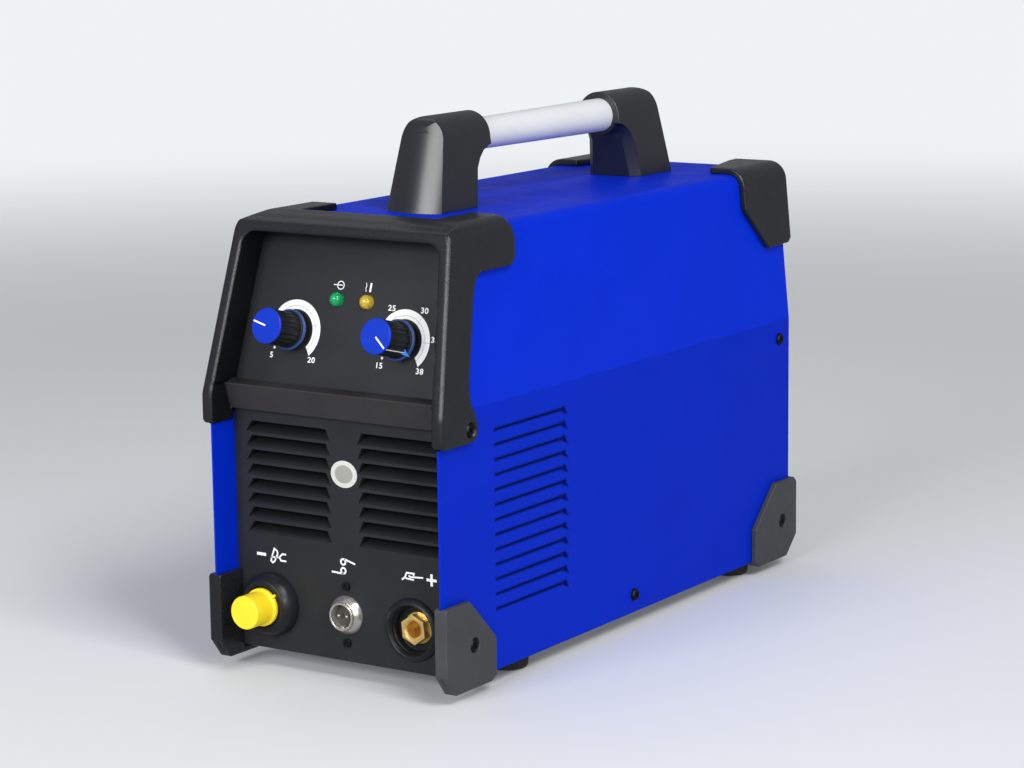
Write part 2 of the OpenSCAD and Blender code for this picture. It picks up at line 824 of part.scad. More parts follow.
module front_board() {
    color([0.1, 0.35, 0.2]) place() difference() {
        on_plate(0, 0) translate([-58, -18, -13.1]) cube([116, 48, 1.6]);
        for (s = [-1, 1], x = [-1.27, 1.27])
            on_plate(s*lens_x + x, lens_s, -20) cylinder(r = 0.4, h = 20, $fn = 16);
    }
}

module board_standoffs() {
    color(STEEL) place()
        for (x = [-53, 53], s = [-13, 25])
            on_plate(x, s, -11.5) cylinder(r = 3, h = 11.5 - plate_t);
}

module seal_disc() {
    color([0.8, 0.8, 0.82]) place() on_front(0, seal_z) cylinder(r = 7.4, h = 0.3);
}

// ---------------------------------------------------------------- sockets

module torch_collar() {
    color(BLACK) place() on_front(-torch_x, torch_z) difference() {
        union() {
            cylinder(r = torch_r, h = 3);
            translate([0, 0, 3]) cylinder(r1 = torch_r, r2 = torch_r - 0.9, h = collar_l - 6.4);
            translate([0, 0, collar_l - 3.4]) cylinder(r1 = torch_r - 0.9, r2 = torch_r - 2.7, h = 2.5);
            translate([0, 0, collar_l - 0.9]) cylinder(r1 = torch_r - 2.7, r2 = torch_r - 3.6, h = 0.9);
            translate([0, 0, -8]) cylinder(r = 13, h = 8.1);
        }
        translate([0, 0, -9]) cylinder(r = 9.2, h = 40);
        translate([0, 0, collar_l - 3]) cylinder(r = 11.8, h = 5);
    }
}

module torch_fitting() {
    color(BRASS) place() on_front(-torch_x, torch_z) difference() {
        union() {
            translate([0, 0, -14]) cylinder(r = 9.1, h = 14 + fitting_l);
            translate([0, 0, -12.1]) cylinder(r = 15.5, h = 4, $fn = 6);
        }
        translate([0, 0, -15]) cylinder(r = 2.5, h = 40);
        translate([0, 0, fitting_l - 12]) cylinder(r = 5.5, h = 40);
    }
}

module torch_cap() {
    flange = cap_r + 1.3;
    color([0.98, 0.85, 0.15]) place() on_front(-torch_x, torch_z) {
        translate([0, 0, fitting_l]) cylinder(r = flange, h = 2.1);
        translate([0, 0, fitting_l + 2.1]) cylinder(r1 = flange, r2 = cap_r + 0.3, h = 0.5);
        translate([0, 0, fitting_l + 2.6]) cylinder(r = cap_r, h = cap_l - 0.8);
        translate([0, 0, cap_h - 0.8]) cylinder(r1 = cap_r, r2 = cap_r - 0.6, h = 0.8);
        translate([0, 0, fitting_l - 10]) cylinder(r = 5.15, h = 11);
    }
}

module signal_shell() {
    color([0.75, 0.74, 0.7]) place() on_front(0, signal_z) difference() {
        union() {
            cylinder(r = 11, h = 1);
            translate([0, 0, 1]) cylinder(r1 = 11, r2 = 10.1, h = 1.6);
            translate([0, 0, 2.6]) cylinder(r1 = 10.1, r2 = 8.4, h = 2.2);
            cylinder(r = 8, h = 6.2);
            translate([0, 0, -panel_t - 2]) cylinder(r = 9.3, h = panel_t + 2.1);
            translate([-11, -20, -panel_t - 2.2]) cube([22, 40, 2.1]);
            translate([0, 0, -16]) cylinder(r = 7.8, h = 12);
        }
        translate([0, 0, -17]) cylinder(r = 6.7, h = 40);
        for (s = [-16.1, 16.1])
            translate([0, s, -20]) cylinder(r = 1.5, h = 40);
    }
}

module signal_insert() {
    color([0.12, 0.11, 0.1]) place() on_front(0, signal_z) difference() {
        translate([0, 0, -14]) cylinder(r = 6.6, h = 15.2);
        for (x = [-2.8, 2.8])
            translate([x, 0, -20]) cylinder(r = 1.05, h = 40, $fn = 24);
    }
}

module signal_pins() {
    color([0.9, 0.85, 0.7]) place()
        for (x = [-2.8, 2.8])
            on_front(x, signal_z) {
                translate([0, 0, -18]) cylinder(r = 1, h = 22, $fn = 24);
                translate([0, 0, 4]) sphere(r = 1, $fn = 24);
            }
}

module signal_screws() {
    color([0.1, 0.1, 0.1]) place()
        for (s = [-16.1, 16.1])
            on_front(0, signal_z + s) difference() {
                union() {
                    cylinder(r = 2.5, h = 1.5);
                    translate([0, 0, -9]) cylinder(r = 1.4, h = 9.1);
                }
                for (a = [0, 90])
                    rotate([0, 0, a + 20]) translate([-1.6, -0.3, 0.8]) cube([3.2, 0.6, 1]);
            }
}

module earth_socket() {
    color(BLACK) place() on_front(earth_x, earth_z) difference() {
        union() {
            cylinder(r = 17.9, h = 0.8);
            translate([0, 0, 0.8]) cylinder(r1 = 17.9, r2 = 17, h = 1.3);
            translate([0, 0, 2.1]) cylinder(r1 = 17, r2 = 15.3, h = 1.1);
            translate([0, 0, -20]) cylinder(r = 14, h = 20.1);
        }
        translate([0, 0, -5]) cylinder(r = 12.8, h = 4.6);
        translate([0, 0, -0.5]) cylinder(r = 13.5, h = 2);
        translate([0, 0, 1.4]) cylinder(r1 = 13.5, r2 = 14.7, h = 2);
        translate([0, 0, -21]) cylinder(r = 9.1, h = 30);
    }
}

module earth_insert() {
    color(BRASS) place() on_front(earth_x, earth_z) difference() {
        union() {
            translate([0, 0, -22]) cylinder(r = 9, h = 16.8);
            translate([0, 0, -6]) rotate([0, 0, 36]) cylinder(r = 8.6, h = 6.3, $fn = 6);
            translate([0, 0, -25]) cylinder(r = 12, h = 5, $fn = 6);
            translate([0, 0, -36]) cylinder(r = 5, h = 12);
        }
        translate([0, 0, -20]) cylinder(r = earth_bore_r, h = 30);
        translate([0, 0, -0.8]) cylinder(r1 = earth_bore_r, r2 = earth_bore_r + 1.3, h = 1.2);
    }
}

// ------------------------------------------------------------------- rear

module switch_frame() {
    color([0.08, 0.08, 0.08]) place() on_rear(switch_x, switch_z) difference() {
        union() {
            translate([-15.5, -17, 0]) cube([31, 34, 2.2]);
            translate([-12.8, -14.3, -22]) cube([25.6, 28.6, 22.1]);
        }
        translate([-10.5, -12.5, -14]) cube([21, 25, 20]);
        translate([-11.9, 0, -4]) rotate([0, 90, 0]) cylinder(r = 1.55, h = 23.8, $fn = 24);
    }
}

module switch_rocker() {
    color([0.5, 0.08, 0.07]) place() on_rear(switch_x, switch_z)
        translate([0, 0, -4]) rotate([9, 0, 0]) {
            translate([-10, 0, 0]) rotate([90, 0, 90]) linear_extrude(20)
                polygon([[-11, 7.2], [0, 5.2], [11, 7.2], [10, 1], [3, -3], [-3, -3], [-10, 1]]);
            translate([-11.7, 0, 0]) rotate([0, 90, 0]) cylinder(r = 1.5, h = 23.4, $fn = 24);
        }
}

module cable_gland() {
    color([0.12, 0.12, 0.12]) place() on_rear(gland_x, gland_z) difference() {
        union() {
            translate([0, 0, -12]) cylinder(r = 8, h = 13);
            cylinder(r = 12, h = 4, $fn = 6);
            translate([0, 0, -pan_t - 4]) cylinder(r = 12, h = 4, $fn = 6);
        }
        translate([0, 0, -13]) cylinder(r = cable_r, h = 40);
    }
}

module gland_nut() {
    color([0.12, 0.12, 0.12]) place() on_rear(gland_x, gland_z) difference() {
        union() {
            translate([0, 0, 4]) cylinder(r = 11, h = 9, $fn = 6);
            translate([0, 0, 13]) cylinder(r1 = 9.5, r2 = 7, h = 7);
        }
        cylinder(r = cable_r, h = 40);
    }
}

module air_inlet() {
    color(BRASS) place() on_rear(-torch_x, torch_z) difference() {
        union() {
            cylinder(r = 9, h = 6, $fn = 6);
            cylinder(r = 4, h = inlet_l);
            translate([0, 0, -14]) cylinder(r = 6, h = 14.1);
            translate([0, 0, -pan_t - 4]) cylinder(r = 9.5, h = 4, $fn = 6);
        }
        translate([0, 0, -15]) cylinder(r = 2.5, h = 60);
    }
}

module earth_stud() {
    color(STEEL) place() on_rear(8, 24) {
        cylinder(r = 4.6, h = 4, $fn = 6);
        translate([0, 0, -14]) cylinder(r = 2.5, h = 27);
        translate([0, 0, -pan_t - 4]) cylinder(r = 4.6, h = 4, $fn = 6);
    }
}

// the fan's +Z points to the front; Z = 0 is the rear panel's inner face
module on_fan() {
    translate([0, rear_in, fan_z]) rotate([90, 0, 0]) children();
}

module fan_frame() {
    color([0.1, 0.1, 0.1]) place() on_fan() difference() {
        union() {
            difference() {
                translate([-46, -46, 0]) cube([92, 92, fan_d]);
                translate([0, 0, -1]) cylinder(r = 43.6, h = fan_d + 2, $fn = 72);
            }
            cylinder(r = 18, h = 2.6);
            for (a = [0 : 3])
                rotate([0, 0, a*90 + 45]) translate([10, -2, 0.2]) cube([36, 4, 2.2]);
            translate([0, 0, 0.1]) cylinder(r = 4, h = 15);
        }
        translate([0, 0, -1]) cylinder(r = 1.55, h = 40, $fn = 24);
        for (x = [-41.25, 41.25], y = [-41.25, 41.25])
            translate([x, y, -1]) cylinder(r = 2.2, h = 40);
    }
}

module fan_rotor() {
    color([0.14, 0.14, 0.14]) place() on_fan() {
        difference() {
            translate([0, 0, 4]) cylinder(r = 18, h = 20);
            translate([0, 0, 3]) cylinder(r = 15.5, h = 18.5);
        }
        translate([0, 0, 1]) cylinder(r = 1.5, h = 21, $fn = 24);
        for (i = [0 : blades - 1])
            rotate([0, 0, i*360/blades]) translate([29.9, 0, 14]) rotate([38, 0, 0])
                cube([24.4, 1.8, 20], center = true);
    }
}

module fan_guard() {
    wire = 0.9;
    z = 2.2;
    color(STEEL) place() on_rear(0, fan_z) {
        for (r = [10 : 8 : 42])
            translate([0, 0, z]) rotate_extrude($fn = 56) translate([r, 0]) circle(wire, $fn = 16);
        for (a = [0 : 3])
            rotate([0, 0, a*90 + 45]) {
                translate([9, 0, z - 1.2]) rotate([0, 90, 0]) cylinder(r = wire, h = 46.5, $fn = 16);
                translate([58.34, 0, 0]) tube(4.2, 2.3, 1.6);
            }
    }
}

module fan_screws() {
    color(STEEL) place()
        for (x = [-41.25, 41.25], z = [-41.25, 41.25])
            on_rear(x, fan_z + z) {
                translate([0, 0, 1.6]) cylinder(r = 3.6, h = 2);
                translate([0, 0, -24]) cylinder(r = 2, h = 26);
            }
}

// --------------------------------------------------------------- internals

module board_frame() {
    color(STEEL) place() both_sides() difference() {
        union() {
            translate([rail_x, board_y, deck_z]) cube([pan_t, board_l, board_z - deck_z]);
            translate([rail_x - 8, board_y, deck_z]) cube([8.1, board_l, pan_t]);
            translate([rail_x - 8, board_y, board_z - pan_t]) cube([8.1, board_l, pan_t]);
        }
        for (y = [board_y + 40 : 62 : board_y + 110])
            translate([rail_x - 5, y, (deck_z + sink_z + 62)/2]) rotate([0, 90, 0]) cylinder(r = 22, h = 10);
        for (y = feet_y)
            translate([feet_x, y, -5]) cylinder(r = 5, h = 15);
    }
}

module main_board() {
    color([0.1, 0.35, 0.2]) place()
        translate([-rail_x + 0.5, board_y, board_z]) cube([2*rail_x - 1, board_l, 1.6]);
}

module capacitors() {
    pitch = 2*can_r + 4;
    color([0.12, 0.14, 0.3]) place()
        for (i = [-1, 0, 1], j = [0, 1])
            translate([i*pitch, board_y + 74 + j*(pitch + 6), board_z + 1.6]) {
                cylinder(r = can_r, h = can_h);
                translate([0, 0, can_h]) cylinder(r1 = can_r, r2 = can_r - 1.5, h = 1.5);
            }
}

module heat_sinks() {
    fins = 7;
    pitch = (sink_h - 34)/(fins - 1);
    color([0.7, 0.71, 0.73]) place() both_sides() {
        translate([rail_x - 7, sink_y, sink_z]) cube([7, sink_l, sink_h]);
        for (i = [0 : fins - 1])
            translate([rail_x - 7 - fin_l, sink_y, sink_z + i*pitch]) cube([fin_l + 0.1, sink_l, 2.2]);
    }
}

module power_devices() {
    pitch = (sink_l - 13)/4;
    color([0.08, 0.08, 0.08]) place() both_sides()
        for (i = [0 : 3])
            translate([rail_x - 12, sink_y + 6 + i*pitch, sink_z + sink_h - 23]) cube([5, 16, 20]);
}

module transformer_core() {
    color([0.2, 0.2, 0.21]) place() translate([0, core_y, deck_z]) difference() {
        translate([-core_w/2, -16, 0]) cube([core_w, 32, core_h]);
        for (s = [-1, 1])
            translate([s*core_w/4 - 8, -20, 9]) cube([16, 40, core_h - 18]);
    }
}

module transformer_coil() {
    w = core_w/4 - 7.9;
    color([0.75, 0.42, 0.18]) place() translate([0, core_y, deck_z + 10]) difference() {
        translate([-w - 15, -26, 0]) cube([2*w + 30, 52, core_h - 20]);
        translate([-w, -16.1, -1]) cube([2*w, 32.2, core_h]);
    }
}

module inductor() {
    color([0.75, 0.42, 0.18]) place() translate([0, ring_y, deck_z + 11])
        rotate_extrude($fn = 56) translate([ring_r, 0]) circle(11, $fn = 28);
}

module solenoid_valve() {
    color([0.25, 0.25, 0.27]) place() translate([-torch_x, valve_y, 0]) difference() {
        union() {
            translate([-12, 0, deck_z]) cube([24, 26, torch_z + 8 - deck_z]);
            translate([0, 13, torch_z + 8]) cylinder(r = 9, h = 26);
        }
        translate([0, -6, torch_z]) rotate([-90, 0, 0]) cylinder(r = 4.1, h = 12);
        translate([0, 20, torch_z]) rotate([-90, 0, 0]) cylinder(r = 4.1, h = 12);
    }
}

module air_hose() {
    y1 = panel_y + 14;
    y2 = valve_y + 20;
    color([0.1, 0.1, 0.12]) place() translate([-torch_x, 0, torch_z]) {
        translate([0, y1, 0]) rotate([-90, 0, 0]) tube(4, 2.6, valve_y + 6 - y1);
        translate([0, y2, 0]) rotate([-90, 0, 0]) tube(4, 2.6, rear_y - 14 - y2);
    }
}

module case_screw(len) {
    difference() {
        union() {
            cylinder(r = 3.6, h = 1.2);
            translate([0, 0, 1.2]) cylinder(r1 = 3.6, r2 = 2.7, h = 0.8);
            translate([0, 0, -len]) cylinder(r = 2, h = len + 0.1);
        }
        for (a = [0, 90])
            rotate([0, 0, a + 30]) translate([-2.2, -0.4, 1]) cube([4.4, 0.8, 2]);
    }
}

module case_screws() {
    color([0.1, 0.1, 0.1]) place() both_sides()
        for (p = SIDE_SCREWS)
            translate([p[2], p[0], p[1]]) rotate([0, 90, 0]) case_screw(p[2] - hw + 6.5);
}

// ------------------------------------------------------------------- draw

cover();
base_pan();
front_panel();
hood();
control_plate();
rear_panel();
guard_front_left();
guard_front_right();
guard_rear_left();
guard_rear_right();
guard_top_left();
guard_top_right();
rubber_feet();
handle_post_front();
handle_post_rear();
handle_bar();
knob_left();
knob_right();
knob_cap_left();
knob_cap_right();
pot_shaft_left();
pot_shaft_right();
potentiometers();
lens_green();
lens_amber();
seal_disc();
torch_collar();
torch_fitting();
torch_cap();
signal_shell();
signal_insert();
signal_pins();
signal_screws();
earth_socket();
earth_insert();
switch_frame();
switch_rocker();
cable_gland();
gland_nut();
air_inlet();
fan_frame();
fan_rotor();
fan_guard();
fan_screws();
main_board();
capacitors();
heat_sinks();
power_devices();
board_frame();
transformer_core();
transformer_coil();
inductor();
front_board();
board_standoffs();
solenoid_valve();
air_hose();
case_screws();
handle_screws();
earth_stud();
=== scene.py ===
"""Plasma cutter unit: materials, printed marks, fine fittings and the stage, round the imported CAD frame."""

import math

import bmesh
import bpy
from mathutils import Matrix, Vector


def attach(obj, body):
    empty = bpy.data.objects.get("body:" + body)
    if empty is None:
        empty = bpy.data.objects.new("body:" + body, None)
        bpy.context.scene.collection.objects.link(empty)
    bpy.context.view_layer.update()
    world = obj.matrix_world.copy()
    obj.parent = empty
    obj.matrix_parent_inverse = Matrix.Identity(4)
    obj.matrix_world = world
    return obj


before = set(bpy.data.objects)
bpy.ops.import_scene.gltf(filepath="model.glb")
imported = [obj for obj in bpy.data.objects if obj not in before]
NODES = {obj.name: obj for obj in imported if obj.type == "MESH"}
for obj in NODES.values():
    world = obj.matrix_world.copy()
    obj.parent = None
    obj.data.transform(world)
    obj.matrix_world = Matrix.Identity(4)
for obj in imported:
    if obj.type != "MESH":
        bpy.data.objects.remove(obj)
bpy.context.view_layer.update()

# ---------------------------------------------------------------- sizes and places, in millimetres

MM = 0.001
Y_MID = 201.65  # the frame's origin, measured from the cover's front edge
FOOT_H = 9.0  # the cover's lower edge over the ground

COVER_HALF_W = 77.5
CREASE_Z = 150
HOOD_LEAD = 2  # how far the hood's front stands before the cover at the crease
PLATE_RECESS = 20  # how far the control plate lies behind the hood's front
PLATE_HALF_W = 66
TILT = math.radians(14)  # how far the control plate leans back

KNOB_X = 36.9
KNOB_Z = 184.3
KNOB_H = 26.6
KNOB_R = 9.7

PLATE_Y = PLATE_RECESS - HOOD_LEAD + math.tan(TILT) * (KNOB_Z - CREASE_Z)
PANEL_Y = 19.6
REAR_Y = 384.4

# (x, z) on the front panel and, seen from behind, on the rear panel
TORCH_AT = (-52, 28.3)
SIGNAL_AT = (0, 28.5)
EARTH_AT = (44.7, 25.8)
SEAL_AT = (0, 108.1)
INLET_AT = (52, 28.3)
GLAND_AT = (-42, 38)
SWITCH_AT = (-36, 211)

SIDES = (("right", 1), ("left", -1))


def place(x, y, z):
    """A point given from the cover's front lower edge, in the frame's metres."""
    return Vector((x, y - Y_MID, z + FOOT_H)) * MM


class Spot:
    """A flat place on the unit: its origin, its right and up directions and its outward normal."""

    def __init__(self, origin, right, up):
        self.origin = origin
        self.right = Vector(right).normalized()
        self.up = Vector(up).normalized()
        self.out = self.right.cross(self.up)

    def matrix(self):
        """Turns local millimetres into the frame's metres."""
        matrix = Matrix((self.right, self.up, self.out)).transposed().to_4x4() @ Matrix.Scale(MM, 4)
        matrix.translation = self.origin
        return matrix

    def at(self, x, y):
        """The same kind of place with its origin moved."""
        return Spot(self.matrix() @ Vector((x, y, 0)), self.right, self.up)


PLATE = Spot(place(0, PLATE_Y, KNOB_Z), (1, 0, 0), (0, math.sin(TILT), math.cos(TILT)))
PANEL = Spot(place(0, PANEL_Y, 0), (1, 0, 0), (0, 0, 1))
REAR = Spot(place(0, REAR_Y, 0), (-1, 0, 0), (0, 0, 1))


def cover_side(turn):
    """The cover's outer face: turn is 1 on the right and -1 on the left."""
    return Spot(place(COVER_HALF_W * turn, 0, 0), (0, turn, 0), (0, 0, 1))


def plate_up(z):
    """A height as a distance up the sloping plate from the knobs' centres."""
    return (z - KNOB_Z) / math.cos(TILT)


# ---------------------------------------------------------------- camera, fitted to the photograph

CAMERA_ANGLES = (33.633, 10.244, -0.735)  # azimuth, elevation and roll in degrees
CAMERA_AT = place(956.80, -1250.71, 444.30)
FOCAL_PX = 2947.36
PHOTO_W_PX = 1024
SENSOR_MM = 36


def make_camera():
    """A long lens at the photograph's angle, height and distance."""
    azimuth, elevation, roll = (math.radians(angle) for angle in CAMERA_ANGLES)
    reach = math.cos(elevation)
    back = Vector((math.sin(azimuth) * reach, -math.cos(azimuth) * reach, math.sin(elevation)))
    level = (-back).cross(Vector((0, 0, 1))).normalized()
    upright = back.cross(level)
    right = level * math.cos(roll) + upright * math.sin(roll)
    up = upright * math.cos(roll) - level * math.sin(roll)
    data = bpy.data.cameras.new("camera")
    data.sensor_width = SENSOR_MM
    data.lens = SENSOR_MM * FOCAL_PX / PHOTO_W_PX
    data.clip_start, data.clip_end = 0.05, 60
    camera = bpy.data.objects.new("camera", data)
    bpy.context.scene.collection.objects.link(camera)
    camera.matrix_world = Matrix((right, up, back)).transposed().to_4x4()
    camera.location = CAMERA_AT
    bpy.context.scene.camera = camera


make_camera()

# ---------------------------------------------------------------- shader tools

MATERIALS = {}  # every material by the name that its Shader was given
EVEN = (1, 1, 1)
NOISE_LOW, NOISE_HIGH = 0.3, 0.7  # most of a noise pattern lies between these
MIX_A, MIX_B, MIX_RESULT = 4, 5, 1  # a Mix node's vector sockets

# parts of a face's normal, for Shader.barrel
FACES_OUT = 0.15  # the least along Y of an outer face
LEANS_BACK = 0.225  # the least along Z of a face that leans back
FLAT_FROM, FLAT_TO = 0.28, 0.95  # along Z, where the curve across starts to fade and is gone


def socket_name(key):
    """A node socket's label from a keyword."""
    return key.replace("_", " ").title().replace("Ior", "IOR")


def srgb(*values):
    """8-bit display values as linear colour."""
    def linear(value):
        value /= 255
        return value / 12.92 if value <= 0.04045 else ((value + 0.055) / 1.055) ** 2.4
    return tuple(linear(value) for value in values)


class Shader:
    """A Principled material with helpers that add procedural detail in object space."""

    def __init__(self, name, color, rough, metallic=0.0, **sockets):
        self.material = bpy.data.materials.new(name)
        self.material.use_nodes = True
        MATERIALS[name] = self.material
        self.tree = self.material.node_tree
        self.bsdf = self.tree.nodes["Principled BSDF"]
        self.color = color
        self.normal = None
        self.coords = self.tree.nodes.new("ShaderNodeTexCoord").outputs["Object"]
        sockets.update(base_color=(*color, 1), roughness=rough, metallic=metallic)
        for key, value in sockets.items():
            self.bsdf.inputs[socket_name(key)].default_value = value

    def node(self, kind, **values):
        """A new node with its properties and sockets set by keyword."""
        node = self.tree.nodes.new("ShaderNode" + kind)
        for key, value in values.items():
            if hasattr(node, key):
                setattr(node, key, value)
            else:
                node.inputs[socket_name(key)].default_value = value
        return node

    def link(self, output, target):
        """Joins one node's output to another's input."""
        self.tree.links.new(output, target)

    def parts(self, vector):
        """The X, Y and Z sockets of a vector."""
        node = self.node("SeparateXYZ")
        self.link(vector, node.inputs["Vector"])
        return node.outputs

    def calc(self, operation, a, b=None):
        """A Math node on two sockets or numbers."""
        node = self.node("Math", operation=operation)
        for socket, value in zip(node.inputs, (a, b)):
            if isinstance(value, (int, float)):
                socket.default_value = value
            elif value is not None:
                self.link(value, socket)
        return node.outputs["Value"]

    def remap(self, value, start, end, low, high, interpolation="LINEAR"):
        """Turns start to end on a socket into low to high."""
        node = self.node(
            "MapRange", interpolation_type=interpolation,
            from_min=start, from_max=end, to_min=low, to_max=high,
        )
        self.link(value, node.inputs["Value"])
        return node.outputs["Result"]

    # patterns

    def scaled(self, scale, stretch=EVEN):
        """Object coordinates times a scale, stretched along the axes."""
        mapping = self.node("Mapping")
        mapping.inputs["Scale"].default_value = [scale * s for s in stretch]
        self.link(self.coords, mapping.inputs["Vector"])
        return mapping.outputs["Vector"]

    def noise(self, scale, detail, stretch):
        """Cloudy noise, from 0 to 1."""
        node = self.node("TexNoise", scale=1.0, detail=detail)
        self.link(self.scaled(scale, stretch), node.inputs["Vector"])
        return node.outputs["Fac"]

    def cells(self, scale):
        """Irregular cells, dark in their middles."""
        node = self.node("TexVoronoi", scale=1.0)
        self.link(self.scaled(scale), node.inputs["Vector"])
        return node.outputs["Distance"]

    def rings(self, scale, centre):
        """Concentric turning marks round an axis along Y through centre, in the frame's metres."""
        mapping = self.node("Mapping")
        mapping.inputs["Location"].default_value = [-c for c in centre]
        self.link(self.coords, mapping.inputs["Vector"])
        node = self.node(
            "TexWave", wave_type="RINGS", rings_direction="Y", scale=scale, distortion=0.4, detail=1.0,
        )
        self.link(mapping.outputs["Vector"], node.inputs["Vector"])
        return node.outputs["Fac"]

    def bands(self, scale):
        """Even stripes up Z."""
        node = self.node("TexWave", bands_direction="Z", scale=scale)
        self.link(self.coords, node.inputs["Vector"])
        return node.outputs["Fac"]

    # effects; each returns the shader, so that they can be chained

    def ease(self, radius_mm):
        """Rounds the edges in the shading alone; a bump has to follow."""
        self.normal = self.node("Bevel", samples=8, radius=radius_mm * MM).outputs["Normal"]
        return self

    def bump(self, height, strength, depth_mm):
        """Presses a pattern into the surface, on top of the bumps before it."""
        node = self.node("Bump", strength=strength, distance=depth_mm * MM)
        self.link(height, node.inputs["Height"])
        if self.normal:
            self.link(self.normal, node.inputs["Normal"])
        self.normal = node.outputs["Normal"]
        self.link(self.normal, self.bsdf.inputs["Normal"])
        return self

    def grain(self, scale, strength, depth_mm, detail=2, stretch=EVEN):
        """A noise pressed into the surface."""
        return self.bump(self.noise(scale, detail, stretch), strength, depth_mm)

    def wear(self, scale, low, high, detail=3, stretch=EVEN):
        """Varies the roughness by a noise."""
        result = self.remap(self.noise(scale, detail, stretch), NOISE_LOW, NOISE_HIGH, low, high)
        self.link(result, self.bsdf.inputs["Roughness"])
        return self

    def colors(self, pattern, low, high, start=NOISE_LOW, end=NOISE_HIGH):
        """Maps a pattern to two colours."""
        node = self.node("ValToRGB")
        first, last = node.color_ramp.elements
        first.position, last.position = start, end
        first.color, last.color = (*low, 1), (*high, 1)
        self.link(pattern, node.inputs["Fac"])
        self.link(node.outputs["Color"], self.bsdf.inputs["Base Color"])
        return self

    def mottle(self, amount, scale):
        """Varies the colour a little about its own value."""
        low = [c * (1 - amount) for c in self.color]
        high = [min(1, c * (1 + amount)) for c in self.color]
        return self.colors(self.noise(scale, 3, EVEN), low, high)

    def shade(self, axis, full, least, factor):
        """Paints shade into the colour: darker from one place on an axis to another, in the unit's
        millimetres.
        """
        source = self.bsdf.inputs["Base Color"].links[0].from_socket
        start, end = (place(v, v, v)["XYZ".index(axis)] for v in (full, least))
        darker = self.node("VectorMath", operation="SCALE")
        self.link(source, darker.inputs[0])
        self.link(self.remap(self.parts(self.coords)[axis], start, end, 1, factor), darker.inputs["Scale"])
        self.link(darker.outputs["Vector"], self.bsdf.inputs["Base Color"])
        return self

    def barrel(self, radius_mm):
        """Gives the faces that lean back and curve about X = 0 the normals of a smooth barrel.

        Without this the long facets of the solid show as a wedge in the highlight.
        """
        facet = self.parts(self.node("NewGeometry").outputs["True Normal"])
        turn = self.calc("DIVIDE", self.parts(self.coords)["X"], radius_mm * MM)
        across = self.calc("MULTIPLY", turn, self.remap(facet["Z"], FLAT_FROM, FLAT_TO, 1, 0))
        curved = self.node("CombineXYZ")
        for axis, source in zip("XYZ", (across, facet["Y"], facet["Z"])):
            self.link(source, curved.inputs[axis])
        outer = self.calc("GREATER_THAN", self.calc("ABSOLUTE", facet["Y"]), FACES_OUT)
        leaning = self.calc("GREATER_THAN", facet["Z"], LEANS_BACK)
        first_bump = next(node for node in self.tree.nodes if node.type == "BUMP")
        pick = self.node("Mix", data_type="VECTOR")
        self.link(self.calc("MULTIPLY", outer, leaning), pick.inputs["Factor"])
        self.link(first_bump.inputs["Normal"].links[0].from_socket, pick.inputs[MIX_A])
        self.link(curved.outputs["Vector"], pick.inputs[MIX_B])
        self.link(pick.outputs[MIX_RESULT], first_bump.inputs["Normal"])
        return self


# ---------------------------------------------------------------- materials

DRAWN = (1, 0.2, 1)  # marks drawn out along Y
POST_BARREL_R = 38.2  # the bulge of a handle post's outer face
BROW_SHADE_Z = (215, 238)  # where painted shade darkens the control plate under the hood's brow
LOUVRE_DEPTH = 4.5


def moulding(name, color, rough, grain=0.2, shine=0.3, edge_mm=0, flow=0.08):
    """Textured moulded plastic: fine spark-eroded grain, slight flow marks and eased edges."""
    shader = Shader(name, color, rough, specular_ior_level=shine)
    if edge_mm:
        shader.ease(edge_mm)
    shader.mottle(0.07, 60)
    shader.wear(220, rough - 0.6 * flow, rough + 0.7 * flow, detail=4)
    return shader.grain(1600, grain, 0.05, detail=3).grain(45, flow, 0.15)


def metal(name, color, rough, stretch=EVEN, scale=500, metallic=1.0):
    """Bare or plated metal with drawn or tumbled marks."""
    shader = Shader(name, color, rough, metallic).mottle(0.06, 90)
    shader.wear(scale, rough - 0.06, rough + 0.1, detail=4, stretch=stretch)
    return shader.grain(scale * 2, 0.12, 0.02, detail=3, stretch=stretch)


def turned(name, color, rough, centre, metallic=1.0):
    """Metal off a lathe: fine rings round its axis."""
    shader = Shader(name, color, rough, metallic).mottle(0.08, 140)
    shader.wear(260, rough - 0.05, rough + 0.09)
    return shader.bump(shader.rings(420, centre), 0.16, 0.03)


def make_paints():
    """The cover's powder coat with painted shade below the crease, a darker blue that paints shade round its
    slits, and the rear sheet's coat.
    """
    paint = Shader("paint_blue", (0.0006, 0.0245, 0.58), 0.45, specular_ior_level=0.05).mottle(0.03, 14)
    # painted shade: the upright sides are darker below the crease, where less light falls on them
    paint.shade("Z", CREASE_Z + 0.1, CREASE_Z - 0.1, 0.82).wear(35, 0.38, 0.5).grain(620, 0.2, 0.05)
    # painted shade: a darker blue for the bands round the slits and the lips behind them
    Shader("slit_shade_blue", (0.0005, 0.012, 0.2), 0.45, specular_ior_level=0.05).mottle(0.05, 60)
    sheet = Shader("sheet_black", (0.022, 0.022, 0.024), 0.45, specular_ior_level=0.4)
    sheet.mottle(0.06, 30).grain(700, 0.25, 0.06)


